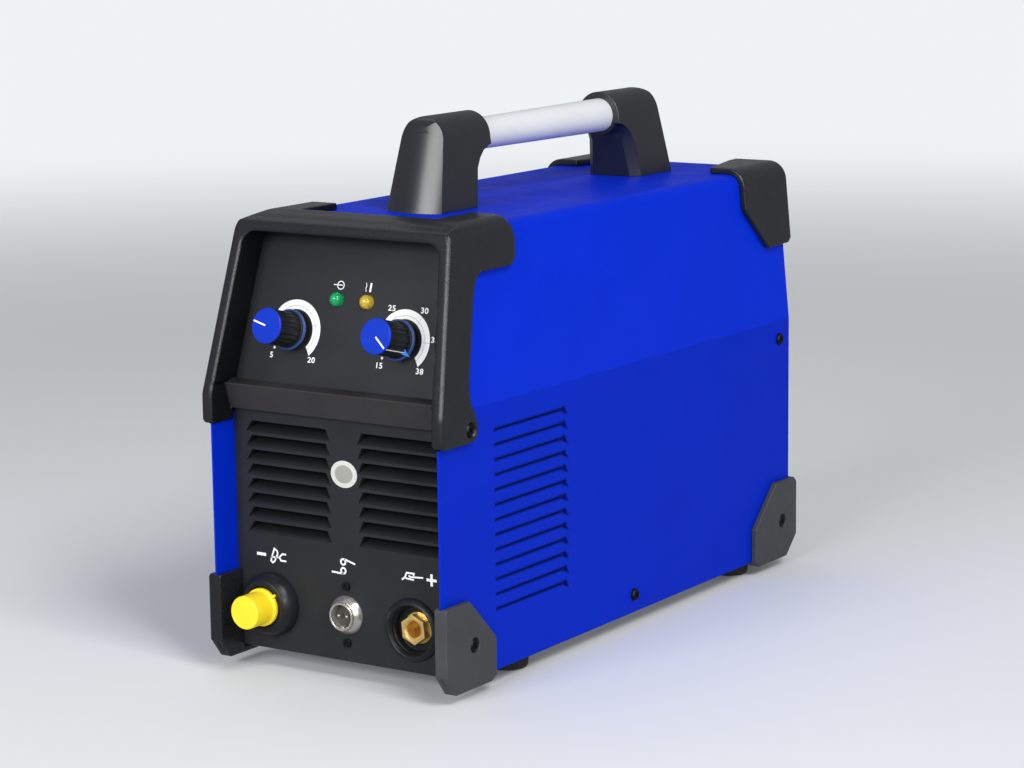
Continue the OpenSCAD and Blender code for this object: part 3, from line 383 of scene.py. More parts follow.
def make_case_plastics():
    """The mouldings that show in the photograph, each with the tone that it has there, painted light and
    shade included.
    """
    moulding("moulding_black", (0.0115, 0.013, 0.0155), 0.26, grain=0.12, shine=0.45, edge_mm=1.2)
    moulding("hood_black", (0.0115, 0.013, 0.016), 0.26, grain=0.05, shine=0.5, edge_mm=3.5, flow=0.04)
    # painted light: the hood's lip, lighter than the hood's own moulding
    moulding("lip_lit_black", (0.03, 0.028, 0.029), 0.42, grain=0.12, shine=0.4)
    # painted shade: the walls of the hood's recess, darker than its own moulding
    moulding("recess_shade_black", (0.0035, 0.004, 0.005), 0.5, shine=0.25)
    moulding("fitting_black", (0.012, 0.013, 0.015), 0.34, grain=0.08, shine=0.36)
    moulding("knob_black", (0.012, 0.012, 0.014), 0.36, grain=0.1)
    # painted light: the tone of the lit right guards; the left guards take the black moulding as painted
    # shade
    moulding("guard_lit_grey", (0.054, 0.056, 0.062), 0.44, grain=0.3, edge_mm=0.9)
    moulding("rubber", (0.02, 0.02, 0.02), 0.75, grain=0.4)
    moulding("insulator", (0.07, 0.062, 0.053), 0.5, grain=0.1)
    post = moulding("post_black", (0.014, 0.0155, 0.019), 0.3, grain=0.03, shine=0.7, edge_mm=0.9, flow=0.015)
    post.barrel(POST_BARREL_R)
    plate = moulding("panel_black", (0.023, 0.025, 0.0295), 0.5, grain=0.3)
    # painted shade: the plate is darker towards the left and under the hood's brow
    plate.shade("X", PLATE_HALF_W, -PLATE_HALF_W, 0.62).shade("Z", *BROW_SHADE_Z, 0.45)
    louvres = moulding("louvre_black", (0.0175, 0.0185, 0.021), 0.5, grain=0.3)
    # painted shade: the louvres are darker the deeper they lie behind the panel's face
    louvres.shade("Y", PANEL_Y + 0.2, PANEL_Y + LOUVRE_DEPTH, 0.3)


def make_bar_white():
    """The grip bar's smooth extruded plastic."""
    bar = Shader("bar_white", srgb(226, 227, 229), 0.34, coat_weight=0.1).mottle(0.02, 30)
    bar.grain(900, 0.12, 0.03, stretch=(1, 0.15, 1))


def make_knob_colors():
    """The knobs' caps, their arrows and the painted blue reflection in a ring round their skirts."""
    cap = Shader("cap_blue", (0.002, 0.03, 0.44), 0.38, specular_ior_level=0.2)
    cap.mottle(0.05, 160).grain(1500, 0.12, 0.03)
    Shader("pointer_blue", srgb(50, 135, 245), 0.4).mottle(0.05, 400)
    Shader("skirt_reflection_blue", srgb(36, 66, 132), 0.4).mottle(0.05, 400)


def make_cap_yellow():
    """The torch connector's soft protective cap."""
    cap = Shader(
        "cap_yellow", srgb(255, 222, 40), 0.36,
        subsurface_weight=0.12, subsurface_radius=(0.002, 0.0012, 0.0003),
    )
    cap.mottle(0.04, 90).grain(700, 0.1, 0.04)


def make_lenses():
    """The two lamps' clear coloured plastic."""
    for name, color in (("lens_green", (0.01, 0.5, 0.16)), ("lens_amber", (0.82, 0.6, 0.06))):
        lens = Shader(
            name, color, 0.1,
            transmission_weight=0.4, ior=1.5, coat_weight=0.4, coat_roughness=0.04,
        )
        lens.mottle(0.12, 700).grain(500, 0.06, 0.05, detail=1)


def make_metals():
    """Plated, drawn and turned metal, and the seal's foils."""
    metal("zinc", (0.62, 0.63, 0.65), 0.34)
    metal("screw_black", (0.035, 0.035, 0.037), 0.4)
    metal("silver_trim", srgb(205, 206, 208), 0.38, DRAWN, 700)
    metal("foil_silver", srgb(222, 224, 218), 0.42, DRAWN, 700, metallic=0.25)
    metal("foil_grey", srgb(168, 168, 160), 0.45, DRAWN, 700, metallic=0.25)
    metal("sink_aluminium", (0.72, 0.73, 0.75), 0.36, (1, 0.05, 1))
    pan = metal("galvanised", (0.55, 0.56, 0.58), 0.4, (0.2, 1, 1), 220)
    pan.colors(pan.cells(160), (0.44, 0.45, 0.47), (0.62, 0.63, 0.65), 0.2, 0.8)
    nickel = Shader("nickel", (0.88, 0.85, 0.78), 0.2, 0.88)
    nickel.mottle(0.08, 140).wear(900, 0.18, 0.24).grain(700, 0.05, 0.01)
    turned("brass", (0.98, 0.68, 0.24), 0.32, PANEL.at(*EARTH_AT).origin, metallic=0.7)
    turned("brass_torch", (0.86, 0.6, 0.26), 0.26, PANEL.at(*TORCH_AT).origin)


def make_inner_materials():
    """The switch, the fan, the boards and the windings, most of which only the openings show."""
    moulding("rocker_red", (0.42, 0.012, 0.01), 0.28, grain=0.06)
    moulding("fan_black", (0.02, 0.02, 0.022), 0.4, grain=0.12)
    moulding("ferrite", (0.045, 0.045, 0.05), 0.6, grain=0.5)
    moulding("hose_black", (0.02, 0.02, 0.024), 0.5, grain=0.3)
    board = Shader("board_green", (0.012, 0.15, 0.06), 0.35, coat_weight=0.3)
    board.colors(board.cells(190), (0.02, 0.2, 0.08), (0.008, 0.11, 0.045), 0.1, 0.5)
    board.bump(board.cells(190), 0.3, 0.05)
    can = Shader("can_sleeve", (0.02, 0.03, 0.12), 0.3, coat_weight=0.3)
    can.mottle(0.1, 60).grain(90, 0.15, 0.1)
    copper = Shader("copper_wire", (0.62, 0.26, 0.1), 0.28, 0.9).mottle(0.12, 300)
    copper.bump(copper.bands(180), 0.8, 0.6)


def make_print_white():
    """The ink of every printed mark."""
    Shader("print_white", srgb(243, 246, 243), 0.5).mottle(0.03, 800).grain(2500, 0.2, 0.01)


make_paints()
make_case_plastics()
make_bar_white()
make_knob_colors()
make_cap_yellow()
make_lenses()
make_metals()
make_inner_materials()
make_print_white()

# ---------------------------------------------------------------- the CAD nodes

SHARP = math.radians(28)  # faces that meet at more than this have an edge
MERGE = math.radians(0.6)  # facets that turn less than this merge
WELD_M = 2e-6
WIDE_EDGE = 0.4  # edges from this width on have one more segment

# node: (material, edge radius in millimetres)
DRESS = {
    "cover": ("paint_blue", 0.25),
    "base_pan": ("galvanised", 0.2),
    "front_panel": ("louvre_black", 0),
    "hood": ("hood_black", 0.9),
    "control_plate": ("panel_black", 0.2),
    "rear_panel": ("sheet_black", 0.25),
    # the left guards take the black moulding, the right ones the grey: one part, in painted shade on the left
    # and painted light on the right
    "guard_front_left": ("moulding_black", 0.6),
    "guard_front_right": ("guard_lit_grey", 0.6),
    "guard_rear_left": ("moulding_black", 0.9),
    "guard_rear_right": ("guard_lit_grey", 0.9),
    "guard_top_left": ("moulding_black", 0.9),
    "guard_top_right": ("moulding_black", 0.9),
    "rubber_feet": ("rubber", 0.5),
    "handle_post_front": ("post_black", 0),
    "handle_post_rear": ("post_black", 0),
    "handle_bar": ("bar_white", 0.4),
    "knob_left": ("knob_black", 0.18),
    "knob_right": ("knob_black", 0.18),
    "knob_cap_left": ("cap_blue", 0.12),
    "knob_cap_right": ("cap_blue", 0.12),
    "pot_shaft_left": ("zinc", 0.2),
    "pot_shaft_right": ("zinc", 0.2),
    "potentiometers": ("zinc", 0.15),
    "lens_green": ("lens_green", 0),
    "lens_amber": ("lens_amber", 0),
    "seal_disc": ("foil_silver", 0.1),
    "torch_collar": ("fitting_black", 0.5),
    "torch_fitting": ("brass_torch", 0.3),
    "torch_cap": ("cap_yellow", 0.15),
    "signal_shell": ("nickel", 0.3),
    "signal_insert": ("insulator", 0.1),
    "signal_pins": ("silver_trim", 0),
    "signal_screws": ("screw_black", 0.12),
    "earth_socket": ("fitting_black", 0.5),
    "earth_insert": ("brass", 0.3),
    "switch_frame": ("knob_black", 0.4),
    "switch_rocker": ("rocker_red", 0.5),
    "cable_gland": ("moulding_black", 0.4),
    "gland_nut": ("moulding_black", 0.1),
    "air_inlet": ("brass_torch", 0.3),
    "fan_frame": ("fan_black", 0.2),
    "fan_rotor": ("fan_black", 0.25),
    "fan_guard": ("zinc", 0),
    "fan_screws": ("zinc", 0.3),
    "main_board": ("board_green", 0.1),
    "capacitors": ("can_sleeve", 0.6),
    "heat_sinks": ("sink_aluminium", 0.2),
    "power_devices": ("knob_black", 0.3),
    "board_frame": ("galvanised", 0.2),
    "transformer_core": ("ferrite", 0.5),
    "transformer_coil": ("copper_wire", 1.5),
    "inductor": ("copper_wire", 0),
    "front_board": ("board_green", 0.1),
    "board_standoffs": ("zinc", 0.2),
    "solenoid_valve": ("knob_black", 0.5),
    "air_hose": ("hose_black", 0.2),
    "case_screws": ("screw_black", 0.15),
    "handle_screws": ("zinc", 0.3),
    "earth_stud": ("zinc", 0.2),
}

KEEP_FACETS = ("transformer_core", "earth_insert")  # their flat faces have holes, so no facets merge
CLAMPED = ("gland_nut",)  # some of its edges are too close together for a full radius


def soften(name, obj, width_mm):
    """Shades a CAD solid smooth, and rounds its sharp edges where a width is given."""
    mesh = obj.data
    if "custom_normal" in mesh.attributes:
        mesh.attributes.remove(mesh.attributes["custom_normal"])
    mesh.polygons.foreach_set("use_smooth", [True] * len(mesh.polygons))
    obj.modifiers.new("weld", "WELD").merge_threshold = WELD_M
    if not width_mm:
        obj.modifiers.new("crisp", "EDGE_SPLIT").split_angle = SHARP
        return
    if name not in KEEP_FACETS:
        flat = obj.modifiers.new("flat", "DECIMATE")
        flat.decimate_type = "DISSOLVE"
        flat.angle_limit = MERGE
    bevel = obj.modifiers.new("bevel", "BEVEL")
    bevel.width = width_mm * MM
    bevel.segments = 3 if width_mm >= WIDE_EDGE else 2
    bevel.limit_method = "ANGLE"
    bevel.angle_limit = SHARP
    bevel.use_clamp_overlap = name in CLAMPED
    bevel.harden_normals = True
    bevel.miter_outer = "MITER_ARC"


def dress_nodes():
    """Gives every CAD node its material and its edges."""
    for name, obj in NODES.items():
        material, width_mm = DRESS[name]
        obj.data.materials.clear()
        obj.data.materials.append(MATERIALS[material])
        soften(name, obj, width_mm)


LIP_TOP_Z = 157
LIP_HALF_W = 68
RECESS_HALF_W = 76
INWARD = -0.03  # a face's normal times its place along X
DOWNWARD = -0.5  # its normal along Z


def paint_hood_light_and_shade():
    """Gives the lip under the control plate painted light, and the walls of its recess painted shade, as
    tones of their own.
    """
    mesh = NODES["hood"].data
    mesh.materials.append(MATERIALS["lip_lit_black"])
    mesh.materials.append(MATERIALS["recess_shade_black"])
    lip, recess = 1, 2
    for face in mesh.polygons:
        off_centre = abs(face.center.x)
        faces_inward = face.normal.x * face.center.x < INWARD
        faces_down = face.normal.z < DOWNWARD
        if face.center.z < place(0, 0, LIP_TOP_Z).z and off_centre < LIP_HALF_W * MM:
            face.material_index = lip
        elif off_centre < RECESS_HALF_W * MM and (faces_inward or faces_down):
            face.material_index = recess


dress_nodes()
paint_hood_light_and_shade()

# ---------------------------------------------------------------- tools for new pieces

INK = 0.06  # how far printed marks stand off their plate
INK_ROOT = -0.02  # where they start, below its face
MITRE_LEAST = 0.5  # keeps the mitres of sharp corners short
ON_AXIS = 1e-6
SAME_POINT = 1e-5


def add_piece(name, shape, matrix, material, body="case", smooth=False, bevel=0.0):
    """Makes an object of a bmesh given in local millimetres, and lets it ride on a body."""
    mesh = bpy.data.meshes.new(name)
    bmesh.ops.recalc_face_normals(shape, faces=shape.faces)
    shape.transform(matrix)
    shape.to_mesh(mesh)
    shape.free()
    obj = bpy.data.objects.new(name, mesh)
    bpy.context.scene.collection.objects.link(obj)
    mesh.materials.append(MATERIALS[material])
    if smooth:
        mesh.polygons.foreach_set("use_smooth", [True] * len(mesh.polygons))
    if bevel:
        edges = obj.modifiers.new("bevel", "BEVEL")
        edges.width = bevel * MM
        edges.segments = 2
        edges.limit_method = "ANGLE"
        edges.harden_normals = True
    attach(obj, body)


def slab(shape, outline, low, high):
    """A flat plate with a given outline, between two heights."""
    bottom = [shape.verts.new((x, y, low)) for x, y in outline]
    top = [shape.verts.new((x, y, high)) for x, y in outline]
    shape.faces.new(top)
    shape.faces.new(list(reversed(bottom)))
    for i in range(len(outline)):
        j = (i + 1) % len(outline)
        shape.faces.new((bottom[i], bottom[j], top[j], top[i]))


def polar(radius, degrees, x=0.0, y=0.0):
    """A point at a radius and an angle about x, y."""
    angle = math.radians(degrees)
    return x + radius * math.cos(angle), y + radius * math.sin(angle)


def arc(radius, start, end, steps, x=0.0, y=0.0):
    """Points on an arc about x, y, from one angle to another in degrees."""
    return [polar(radius, start + (end - start) * i / steps, x, y) for i in range(steps + 1)]


def stroke(shape, points, width, closed=False, high=INK):
    """A line of even width through points, mitred at its corners."""
    points = [Vector(point) for point in points]
    count = len(points)
    left, right = [], []
    for i, point in enumerate(points):
        before = points[i - 1] if (i or closed) else None
        after = points[(i + 1) % count] if (i < count - 1 or closed) else None
        arriving = (point - before).normalized() if before is not None else (after - point).normalized()
        leaving = (after - point).normalized() if after is not None else arriving
        along = (arriving + leaving).normalized()
        side = Vector((-along.y, along.x)) * (width / 2 / max(MITRE_LEAST, along.dot(arriving)))
        left.append(point + side)
        right.append(point - side)
    for i in range(count if closed else count - 1):
        j = (i + 1) % count
        slab(shape, [left[i], right[i], right[j], left[j]], INK_ROOT, high)


def lathe(profile, steps=48):
    """A solid of revolution about Z from (radius, height) pairs."""
    shape = bmesh.new()
    rings = []
    for radius, height in profile:
        if radius > ON_AXIS:
            rings.append([shape.verts.new((*polar(radius, 360 * i / steps), height)) for i in range(steps)])
        else:
            rings.append([shape.verts.new((0, 0, height))])
    for low, high in zip(rings, rings[1:]):
        for i in range(steps):
            j = (i + 1) % steps
            ring = [low[i % len(low)], low[j % len(low)], high[j % len(high)], high[i % len(high)]]
            face = list(dict.fromkeys(ring))
            if len(face) > 2:
                shape.faces.new(face)
    bmesh.ops.remove_doubles(shape, verts=shape.verts, dist=SAME_POINT)
    return shape


def print_lines(name, spot, lines):
    """A printed mark of lines, each given as its points, its width and whether it is closed."""
    shape = bmesh.new()
    for points, width, closed in lines:
        stroke(shape, points, width, closed)
    add_piece(name, shape, spot.matrix(), "print_white")


# ---------------------------------------------------------------- the dials

# angles in degrees, anticlockwise from the right
BAND_START, BAND_END = 214, -45
BAND_STEP = 3
BAND_TRACKS = ((12.1, 13.88), (14.05, 17.4))
BAND_MID_R = 14.75  # the radius that the band grows from
BAND_GROWTH = 85  # the degrees that it takes to grow
BAND_START_WIDTH = 0.25
END_SKEW = 0.9  # degrees per millimetre that the band's end leans
TICK_GAP = 0.5
DOT_R = 0.75
DOT_AT = polar(16.35, 219)
NUMBER_SIZE = 4.4
NUMBER_WIDTH = 1.12
NUMBER_BOLD = 0.09
NUMBER_SPACING = 1.08
NUMBER_SINK = 0.01

DIALS = {
    # side: (centre, ticks in degrees, numbers with their x and z)
    "left": (-KNOB_X, (165, 113, 60, 15), (("5", -51.1, 170.1), ("20", -23.3, 169.3))),
    "right": (KNOB_X, (168, 119, 50, -1), (
        ("15", 22.7, 170.1), ("20", 16.2, 187.4), ("25", 26.8, 201), ("30", 48.4, 201.1),
        ("35", 57.4, 186.3), ("38", 49.9, 169.2),
    )),
}


def print_number(name, digits, x, y):
    """A plain number printed on the control plate, centred on x, y."""
    curve = bpy.data.curves.new(name, "FONT")
    curve.body = digits
    curve.size = NUMBER_SIZE
    curve.align_x = "CENTER"
    curve.align_y = "CENTER"
    curve.extrude = INK / 2
    curve.offset = NUMBER_BOLD
    curve.space_character = NUMBER_SPACING
    curve.resolution_u = 4
    holder = bpy.data.objects.new(name, curve)
    bpy.context.scene.collection.objects.link(holder)
    bpy.context.view_layer.update()
    solid = holder.evaluated_get(bpy.context.evaluated_depsgraph_get())
    shape = bmesh.new()
    shape.from_mesh(bpy.data.meshes.new_from_object(solid))
    bpy.data.objects.remove(holder)
    bpy.data.curves.remove(curve)
    widen = Matrix.Diagonal((NUMBER_WIDTH, 1, 1, 1))
    shape.transform(Matrix.Translation((x, y, INK / 2 - NUMBER_SINK)) @ widen)
    add_piece(name, shape, PLATE.matrix(), "print_white")


def band_point(radius, angle, degrees):
    """A point of the band at some degrees, with the width that the band has at an angle."""
    grown = min(1, max(0, (BAND_START - angle) / BAND_GROWTH))
    width = BAND_START_WIDTH + (1 - BAND_START_WIDTH) * grown
    return polar(BAND_MID_R + (radius - BAND_MID_R) * width, degrees)


def make_dial(side):
    """The printed scale round one knob: a band in two tracks, its gaps at the ticks, a dot and numbers."""
    centre, ticks, numbers = DIALS[side]
    shape = bmesh.new()
    inmost = BAND_TRACKS[0][0]
    for inner, outer in BAND_TRACKS:
        for i in range((BAND_START - BAND_END) // BAND_STEP):
            start = BAND_START - i * BAND_STEP
            end = start - BAND_STEP
            gap = TICK_GAP if any(end < tick <= start for tick in ticks) else 0
            skew = END_SKEW if end <= BAND_END + BAND_STEP else 0
            slab(shape, [
                band_point(inner, start, start - gap),
                band_point(inner, end, end - (inner - inmost) * skew),
                band_point(outer, end, end - (outer - inmost) * skew),
                band_point(outer, start, start - gap),
            ], INK_ROOT, INK)
    slab(shape, arc(DOT_R, 0, 330, 11, *DOT_AT), INK_ROOT, INK)
    add_piece("dial_" + side, shape, PLATE.at(centre, 0).matrix(), "print_white")
    for i, (digits, x, z) in enumerate(numbers):
        print_number(f"dial_{side}_number_{i}", digits, x, plate_up(z))


make_dial("left")
make_dial("right")

# ---------------------------------------------------------------- marks over the lamps and the sockets

LAMP_MARK_Z = 210.8
THIN, BOLD, HEAVY = 0.55, 1.0, 1.7  # line widths


def make_lamp_marks():
    """A ring with a bar over the green lamp, and a thin and a thick stroke over the amber one."""
    up = plate_up(LAMP_MARK_Z)
    print_lines("mark_power", PLATE.at(-9.3, up), [
        (arc(2.2, 0, 350, 24), THIN, True),
        ([(-4.8, 0.1), (1.2, 0.1)], THIN, False),
    ])
    print_lines("mark_fault", PLATE.at(9.6, up), [
        ([(-1.9, 2.6), (-1.3, 0.4), (-1.9, -0.1), (-1.4, -2.4)], 0.4, False),
        ([(1.6, 2.6), (1.2, -2.4)], 1.2, False),
    ])


def make_torch_mark():
    """A torch's head with its grip, and the cable that leaves it."""
    head = [
        (-3.0, 4.0), (-1.0, 2.8), (-0.7, 1.0), (-1.9, -0.8),
        (-2.7, -2.9), (-4.3, -4.2), (-5.6, -3.2), (-4.9, -0.9),
    ]
    print_lines("mark_torch", PANEL.at(-47.2, 56), [
        (head, BOLD, True),
        ([(-5.4, -1.1), (-1.8, -0.8)], 0.9, False),
        ([(5.2, 1.5), (2.6, 1.5), (0.4, -0.6), (1.6, -2.4), (5.3, -2.4)], BOLD, False),
        ([(-1.9, -0.9), (0.4, -0.6)], 0.9, False),
    ])


def make_trigger_mark():
    """Two levers with a pivot ring each, as on a trigger switch."""
    print_lines("mark_trigger", PANEL.at(0, 55.8), [
        ([(-1.4, 4.2), (6.2, 2.1)], BOLD, False),
        (arc(1.6, 0, 345, 18, -2.0, 2.5), BOLD, True),
        ([(-1.8, -4.2), (-10.0, -3.9)], BOLD, False),
        (arc(1.6, 0, 345, 18, -2.0, -2.5), BOLD, True),
    ])


def make_clamp_mark():
    """A work clamp with its two jaws."""
    print_lines("mark_clamp", PANEL.at(45, 56), [
        ([(-7.1, -2.6), (-5.0, -1.0), (-3.9, 1.6), (1.0, 1.6), (0.6, -0.1)], BOLD, False),
        ([(-2.6, 0.2), (-1.4, -0.5), (7.1, 0)], 0.95, False),
        ([(-4.6, -1.1), (-4.0, -1.6), (0.9, -1.9)], 0.95, False),
    ])


def make_plus_mark():
    """A plus sign: one corner of its outline, turned four times."""
    shape = bmesh.new()
    corner = [(3.4, -0.8), (3.4, 0.8), (0.8, 0.8)]
    quarters = ((1, 0), (0, 1), (-1, 0), (0, -1))
    outline = [(x * c - y * s, x * s + y * c) for c, s in quarters for x, y in corner]
    slab(shape, outline, INK_ROOT, INK)
    add_piece("mark_plus", shape, PANEL.at(57.7, 55.4).matrix(), "print_white")


make_lamp_marks()
print_lines("mark_minus", PANEL.at(-59.5, 55.9), [([(-3.2, 0), (3.2, 0)], HEAVY, False)])
make_torch_mark()
make_trigger_mark()
make_clamp_mark()
make_plus_mark()

# ---------------------------------------------------------------- the knobs' pointers

POINTERS = (("left", -KNOB_X, 165), ("right", KNOB_X, -42))  # side, centre and angle at rest
LINE_HALF_W = 0.45
LINE_START = 0.55  # from the knob's axis
LINE_END = KNOB_R - 0.6
RIB_HALF_W = 0.3
RIB_BOTTOM, RIB_TOP = 6.2, KNOB_H - 1.6
ARROW = ((-2.9, -1.9), (2.3, 0), (-2.9, 1.9), (-2.2, 0))
ARROW_THICK = 0.6
ARROW_AT = (KNOB_R + 0.9, 0, 6.9)
ARROW_SLOPE = math.radians(38)
SKIRT_R = KNOB_R + 1.7
SKIRT_PROFILE = ((-0.1, 5.4), (0.05, 5.4), (0.05, 6.13), (-0.9, 6.8), (-1, 6.65), (-0.1, 5.4))


def bar_outline(start, end, half_width):
    """The outline of a bar along X."""
    return [(start, -half_width), (end, -half_width), (end, half_width), (start, half_width)]


def make_pointer(side, centre, degrees):
    """A knob's white line over its cap and down its side, its blue arrow and a ring of painted blue
    reflection round its skirt.
    """
    body = f"knob_{side}_body"
    turn = PLATE.at(centre, 0).matrix() @ Matrix.Rotation(math.radians(degrees), 4, "Z")

    line = bmesh.new()
    slab(line, bar_outline(LINE_START, LINE_END, LINE_HALF_W), KNOB_H - 0.28, KNOB_H + 0.02)
    add_piece(f"pointer_line_{side}", line, turn, "print_white", body)

    rib = bmesh.new()
    slab(rib, bar_outline(-RIB_TOP, -RIB_BOTTOM, RIB_HALF_W), KNOB_R - 0.15, KNOB_R + 0.1)
    rib.transform(Matrix.Rotation(math.radians(90), 4, "Y"))
    add_piece(f"pointer_rib_{side}", rib, turn, "print_white", body)

    arrow = bmesh.new()
    slab(arrow, ARROW, 0, ARROW_THICK)
    arrow.transform(Matrix.Translation(ARROW_AT) @ Matrix.Rotation(ARROW_SLOPE, 4, "Y"))
    add_piece(f"pointer_arrow_{side}", arrow, turn, "pointer_blue", body)

    # painted reflection: a ring of dim blue round the skirt's rim
    rim = lathe([(SKIRT_R + out, height) for out, height in SKIRT_PROFILE])
    add_piece(f"painted_reflection_ring_{side}", rim, turn, "skirt_reflection_blue", body, smooth=True)


for pointer in POINTERS:
    make_pointer(*pointer)

# ---------------------------------------------------------------- fittings too fine for the solids

LAMP_X = 10.2
LAMP_UP = 19.3
CUP_PROFILE = ((0.0, 0.6), (0.7, 0.6), (1.5, 2.0), (1.7, 2.0), (1.7, 0.2), (0.0, 0.2))
TAIL_R = 3.9
TAIL_START, TAIL_END = 8.0, 24.8
BARB_R = 4.75
BARB_COUNT = 5
BARB_PITCH = 3.2
BARB_START = 8.5
NUT_RIB_COUNT = 22
ROCKER_FACE = 6.68
ROCKER_TILT = math.radians(-9)
ROCKER_SINK = 4


def make_signal_key():
    """The key in the signal connector's shell."""
    half_width, low, high = 0.9, -6.8, -5.4
    back, front = -2, 5.2
    shape = bmesh.new()
    slab(shape, [(-half_width, low), (half_width, low), (half_width, high), (-half_width, high)], back, front)
    add_piece("signal_key", shape, PANEL.at(*SIGNAL_AT).matrix(), "nickel", bevel=0.15)


def make_lamp_cups():
    """A bright cup inside each lamp."""
    for side, x in (("left", -LAMP_X), ("right", LAMP_X)):
        add_piece(f"lamp_cup_{side}", lathe(CUP_PROFILE, 24), PLATE.at(x, LAMP_UP).matrix(), "silver_trim")


def make_seal_badge():
    """A blank oval badge with a grey middle, on the silver disc."""
    circle = arc(1, 0, 355, 71)
    for name, half_width, half_height, low, high, material in (
        ("seal_badge", 8.9, 7.6, 0, 0.34, "foil_silver"),
        ("seal_centre", 6.1, 5.1, 0.3, 0.4, "foil_grey"),
    ):
        shape = bmesh.new()
        slab(shape, [(half_width * x, half_height * y) for x, y in circle], low, high)
        add_piece(name, shape, PANEL.at(*SEAL_AT).matrix(), material)


def make_inlet_barbs():
    """The barbs that hold an air hose on the inlet."""
    profile = [(TAIL_R, TAIL_START)]
    for i in range(BARB_COUNT):
        foot = BARB_START + i * BARB_PITCH
        profile += [(TAIL_R + 0.12, foot), (BARB_R, foot + 0.35), (TAIL_R + 0.15, foot + 2.6)]
    profile += [(TAIL_R, TAIL_END)]
    add_piece("inlet_barbs", lathe(profile, 40), REAR.at(*INLET_AT).matrix(), "brass_torch")


def make_cap_nib():
    """The pull tab on the yellow cap."""
    root_radius = 9
    back, front = 9.9, 11.9
    outline = [polar(root_radius, 34), polar(12.9, 36), polar(12.6, 43), polar(root_radius, 45)]
    shape = bmesh.new()
    slab(shape, outline, back, front)
    matrix = PANEL.at(*TORCH_AT).matrix()
    add_piece("cap_nib", shape, matrix, "cap_yellow", "torch_cap_body", bevel=0.35)


def make_gland_ribs():
    """The grip ribs round the cable gland's nut."""
    inner, outer = 7.2, 9.3
    back, front = 13.2, 18.4
    half_angle = 3
    shape = bmesh.new()
    for i in range(NUT_RIB_COUNT):
        angle = 360 * i / NUT_RIB_COUNT
        start, end = angle - half_angle, angle + half_angle
        rib = [polar(outer, start), polar(outer, end), polar(inner, end), polar(inner, start)]
        slab(shape, rib, back, front)
    matrix = REAR.at(*GLAND_AT).matrix()
    add_piece("gland_ribs", shape, matrix, "moulding_black", bevel=0.3)


def make_rocker_marks():
    """The ring and the bar on the power switch."""
    tilt = Matrix.Translation((0, 0, -ROCKER_SINK)) @ Matrix.Rotation(ROCKER_TILT, 4, "X")
    for name, points, width, closed in (
        ("rocker_off", arc(2.0, 0, 345, 20, 0, -5.6), 0.6, True),
        ("rocker_on", [(0, 4.0), (0, 7.6)], 0.7, False),
    ):
        shape = bmesh.new()
        stroke(shape, points, width, closed, ROCKER_FACE)
        add_piece(name, shape, REAR.at(*SWITCH_AT).matrix() @ tilt, "print_white", "rocker_body")


make_signal_key()
make_lamp_cups()
make_seal_badge()
make_inlet_barbs()
make_cap_nib()
make_gland_ribs()
make_rocker_marks()

# ---------------------------------------------------------------- the cover's slits and the front guards

SLIT_COUNT = 13
SLIT_PITCH = 8.37
SLIT_TOP_Z = 135
SLIT_Y = 53.1
# outlines as (y, z), from a slit's front end and from the cover's front lower edge
SLIT_BORDER = ((-0.3, -0.85), (-0.3, 0.85), (66.5, 1.05), (71.2, 1.55), (74.4, -4), (69.8, -2), (66.5, -0.85))
SLIT_LIP = ((0, -1.4), (0, 1.2), (72, 1.4), (73, -3.4), (68, -1.8))
GUARD_SLOT = ((0.12, 6.93), (5.32, 0.03), (6.0, 0.54), (0.8, 7.44))
BORDER_W = 0.75
# out from the cover's face, or in where negative
BORDER_H = 0.03
LIP_BACK, LIP_FRONT = -2.0, -1.6
FILL_BACK, FILL_FRONT = -1.28, 0.08


def slit_outline(outline, i, turn):
    """An outline moved to slit i, from the top, on one side of the cover."""
    top = SLIT_TOP_Z - SLIT_PITCH * i
    return [((SLIT_Y + y) * turn, top + z) for y, z in outline]


def make_slit_shade():
    """A band of painted shade round each slit of the cover, and the lip behind it in the same darker blue of
    painted shade.
    """
    for side, turn in SIDES:
        borders, lips = bmesh.new(), bmesh.new()
        for i in range(SLIT_COUNT):
            stroke(borders, slit_outline(SLIT_BORDER, i, turn), BORDER_W, closed=True, high=BORDER_H)
            slab(lips, slit_outline(SLIT_LIP, i, turn), LIP_BACK, LIP_FRONT)
        add_piece("slit_shade_bands_" + side, borders, cover_side(turn).matrix(), "slit_shade_blue")
        add_piece("slit_lips_" + side, lips, cover_side(turn).matrix(), "slit_shade_blue")


def make_guard_fills():
    """A fill in the slot that the cover's corner leaves in each front guard's lower bevel."""
    for side, turn in SIDES:
        shape = bmesh.new()
        slab(shape, [(y * turn, z) for y, z in GUARD_SLOT], FILL_BACK, FILL_FRONT)
        # painted shade on the left fill and painted light on the right one, as on the guards
        material = "guard_lit_grey" if side == "right" else "moulding_black"
        add_piece("guard_fill_" + side, shape, cover_side(turn).matrix(), material)


make_slit_shade()
make_guard_fills()

# ---------------------------------------------------------------- stage, in metres

FLOOR_R = 3.2
FLOOR_DROP = 0.0002  # keeps the floor's face off the feet's soles
FADE_START, FADE_END = 0.9, 3.0

# colour and strength
SKY_THAT_LIGHTS = ((0.95, 0.97, 1, 1), 0.26)
SKY_SEEN = ((0.86, 0.89, 0.92, 1), 1.0)

LIGHTS = (
    # name, place, what it looks at, size and watts
    ("front", (-0.05, -2.6, 1.05), (0, 0, 0.16), (1.5, 0.9), 44),
    ("side", (2.2, -0.9, 2.5), (0, 0, 0.15), (1.3, 1.3), 60),
    ("edge", (2.4, -1.6, 0.8), (0, 0, 0.2), (0.6, 0.8), 22),
    ("top", (-0.8, 0.4, 2.6), (0, 0, 0.1), (1.4, 1.4), 6),
)


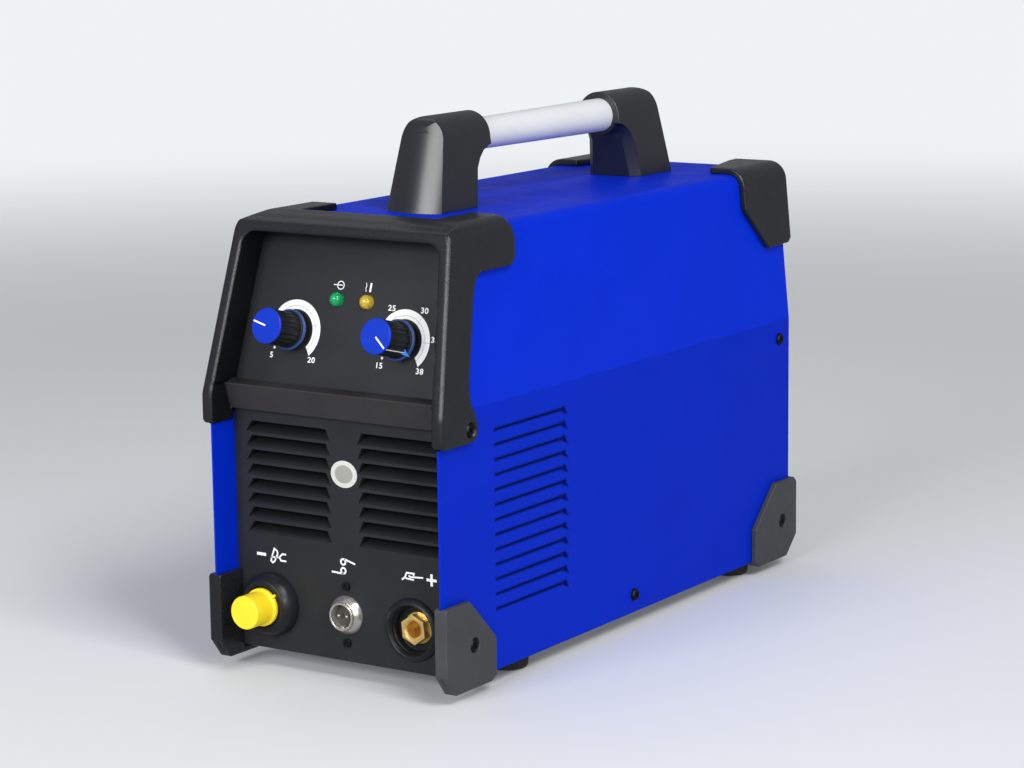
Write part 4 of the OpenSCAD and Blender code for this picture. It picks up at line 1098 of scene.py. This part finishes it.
def make_world():
    """A dim sky that lights the unit, and a pale one that the camera sees, also through the lenses."""
    world = bpy.data.worlds.new("world")
    world.use_nodes = True
    bpy.context.scene.world = world
    nodes, links = world.node_tree.nodes, world.node_tree.links
    nodes.clear()
    mix = nodes.new("ShaderNodeMixShader")
    for i, (color, strength) in enumerate((SKY_THAT_LIGHTS, SKY_SEEN)):
        sky = nodes.new("ShaderNodeBackground")
        sky.inputs["Color"].default_value = color
        sky.inputs["Strength"].default_value = strength
        links.new(sky.outputs["Background"], mix.inputs[1 + i])
    path = nodes.new("ShaderNodeLightPath")
    either = nodes.new("ShaderNodeMath")
    either.operation = "MAXIMUM"
    links.new(path.outputs["Is Camera Ray"], either.inputs[0])
    links.new(path.outputs["Is Transmission Ray"], either.inputs[1])
    links.new(either.outputs["Value"], mix.inputs["Fac"])
    links.new(mix.outputs["Shader"], nodes.new("ShaderNodeOutputWorld").inputs["Surface"])


def make_floor():
    """A pale disc whose rim fades into the background."""
    shape = bmesh.new()
    bmesh.ops.create_circle(shape, cap_ends=True, segments=96, radius=FLOOR_R)
    mesh = bpy.data.meshes.new("floor")
    shape.to_mesh(mesh)
    shape.free()
    shader = Shader("floor", (0.8, 0.82, 0.84), 0.6)
    length = shader.node("VectorMath", operation="LENGTH")
    shader.link(shader.coords, length.inputs[0])
    fade = shader.remap(length.outputs["Value"], FADE_START, FADE_END, 1, 0, "SMOOTHSTEP")
    shader.link(fade, shader.bsdf.inputs["Alpha"])
    mesh.materials.append(shader.material)
    floor = bpy.data.objects.new("floor", mesh)
    floor.location.z = -FLOOR_DROP
    floor.visible_glossy = False
    bpy.context.scene.collection.objects.link(floor)


def add_light(name, location, target, size, power):
    """A rectangular lamp that looks at a point and isn't seen itself."""
    data = bpy.data.lights.new(name, "AREA")
    data.shape = "RECTANGLE"
    data.size, data.size_y = size
    data.energy = power
    obj = bpy.data.objects.new(name, data)
    bpy.context.scene.collection.objects.link(obj)
    obj.location = location
    obj.rotation_mode = "QUATERNION"
    obj.rotation_quaternion = (Vector(target) - Vector(location)).to_track_quat("-Z", "Y")
    obj.visible_camera = False


make_world()
make_floor()
for light in LIGHTS:
    add_light(*light)

bpy.context.scene.view_settings.view_transform = "Standard"
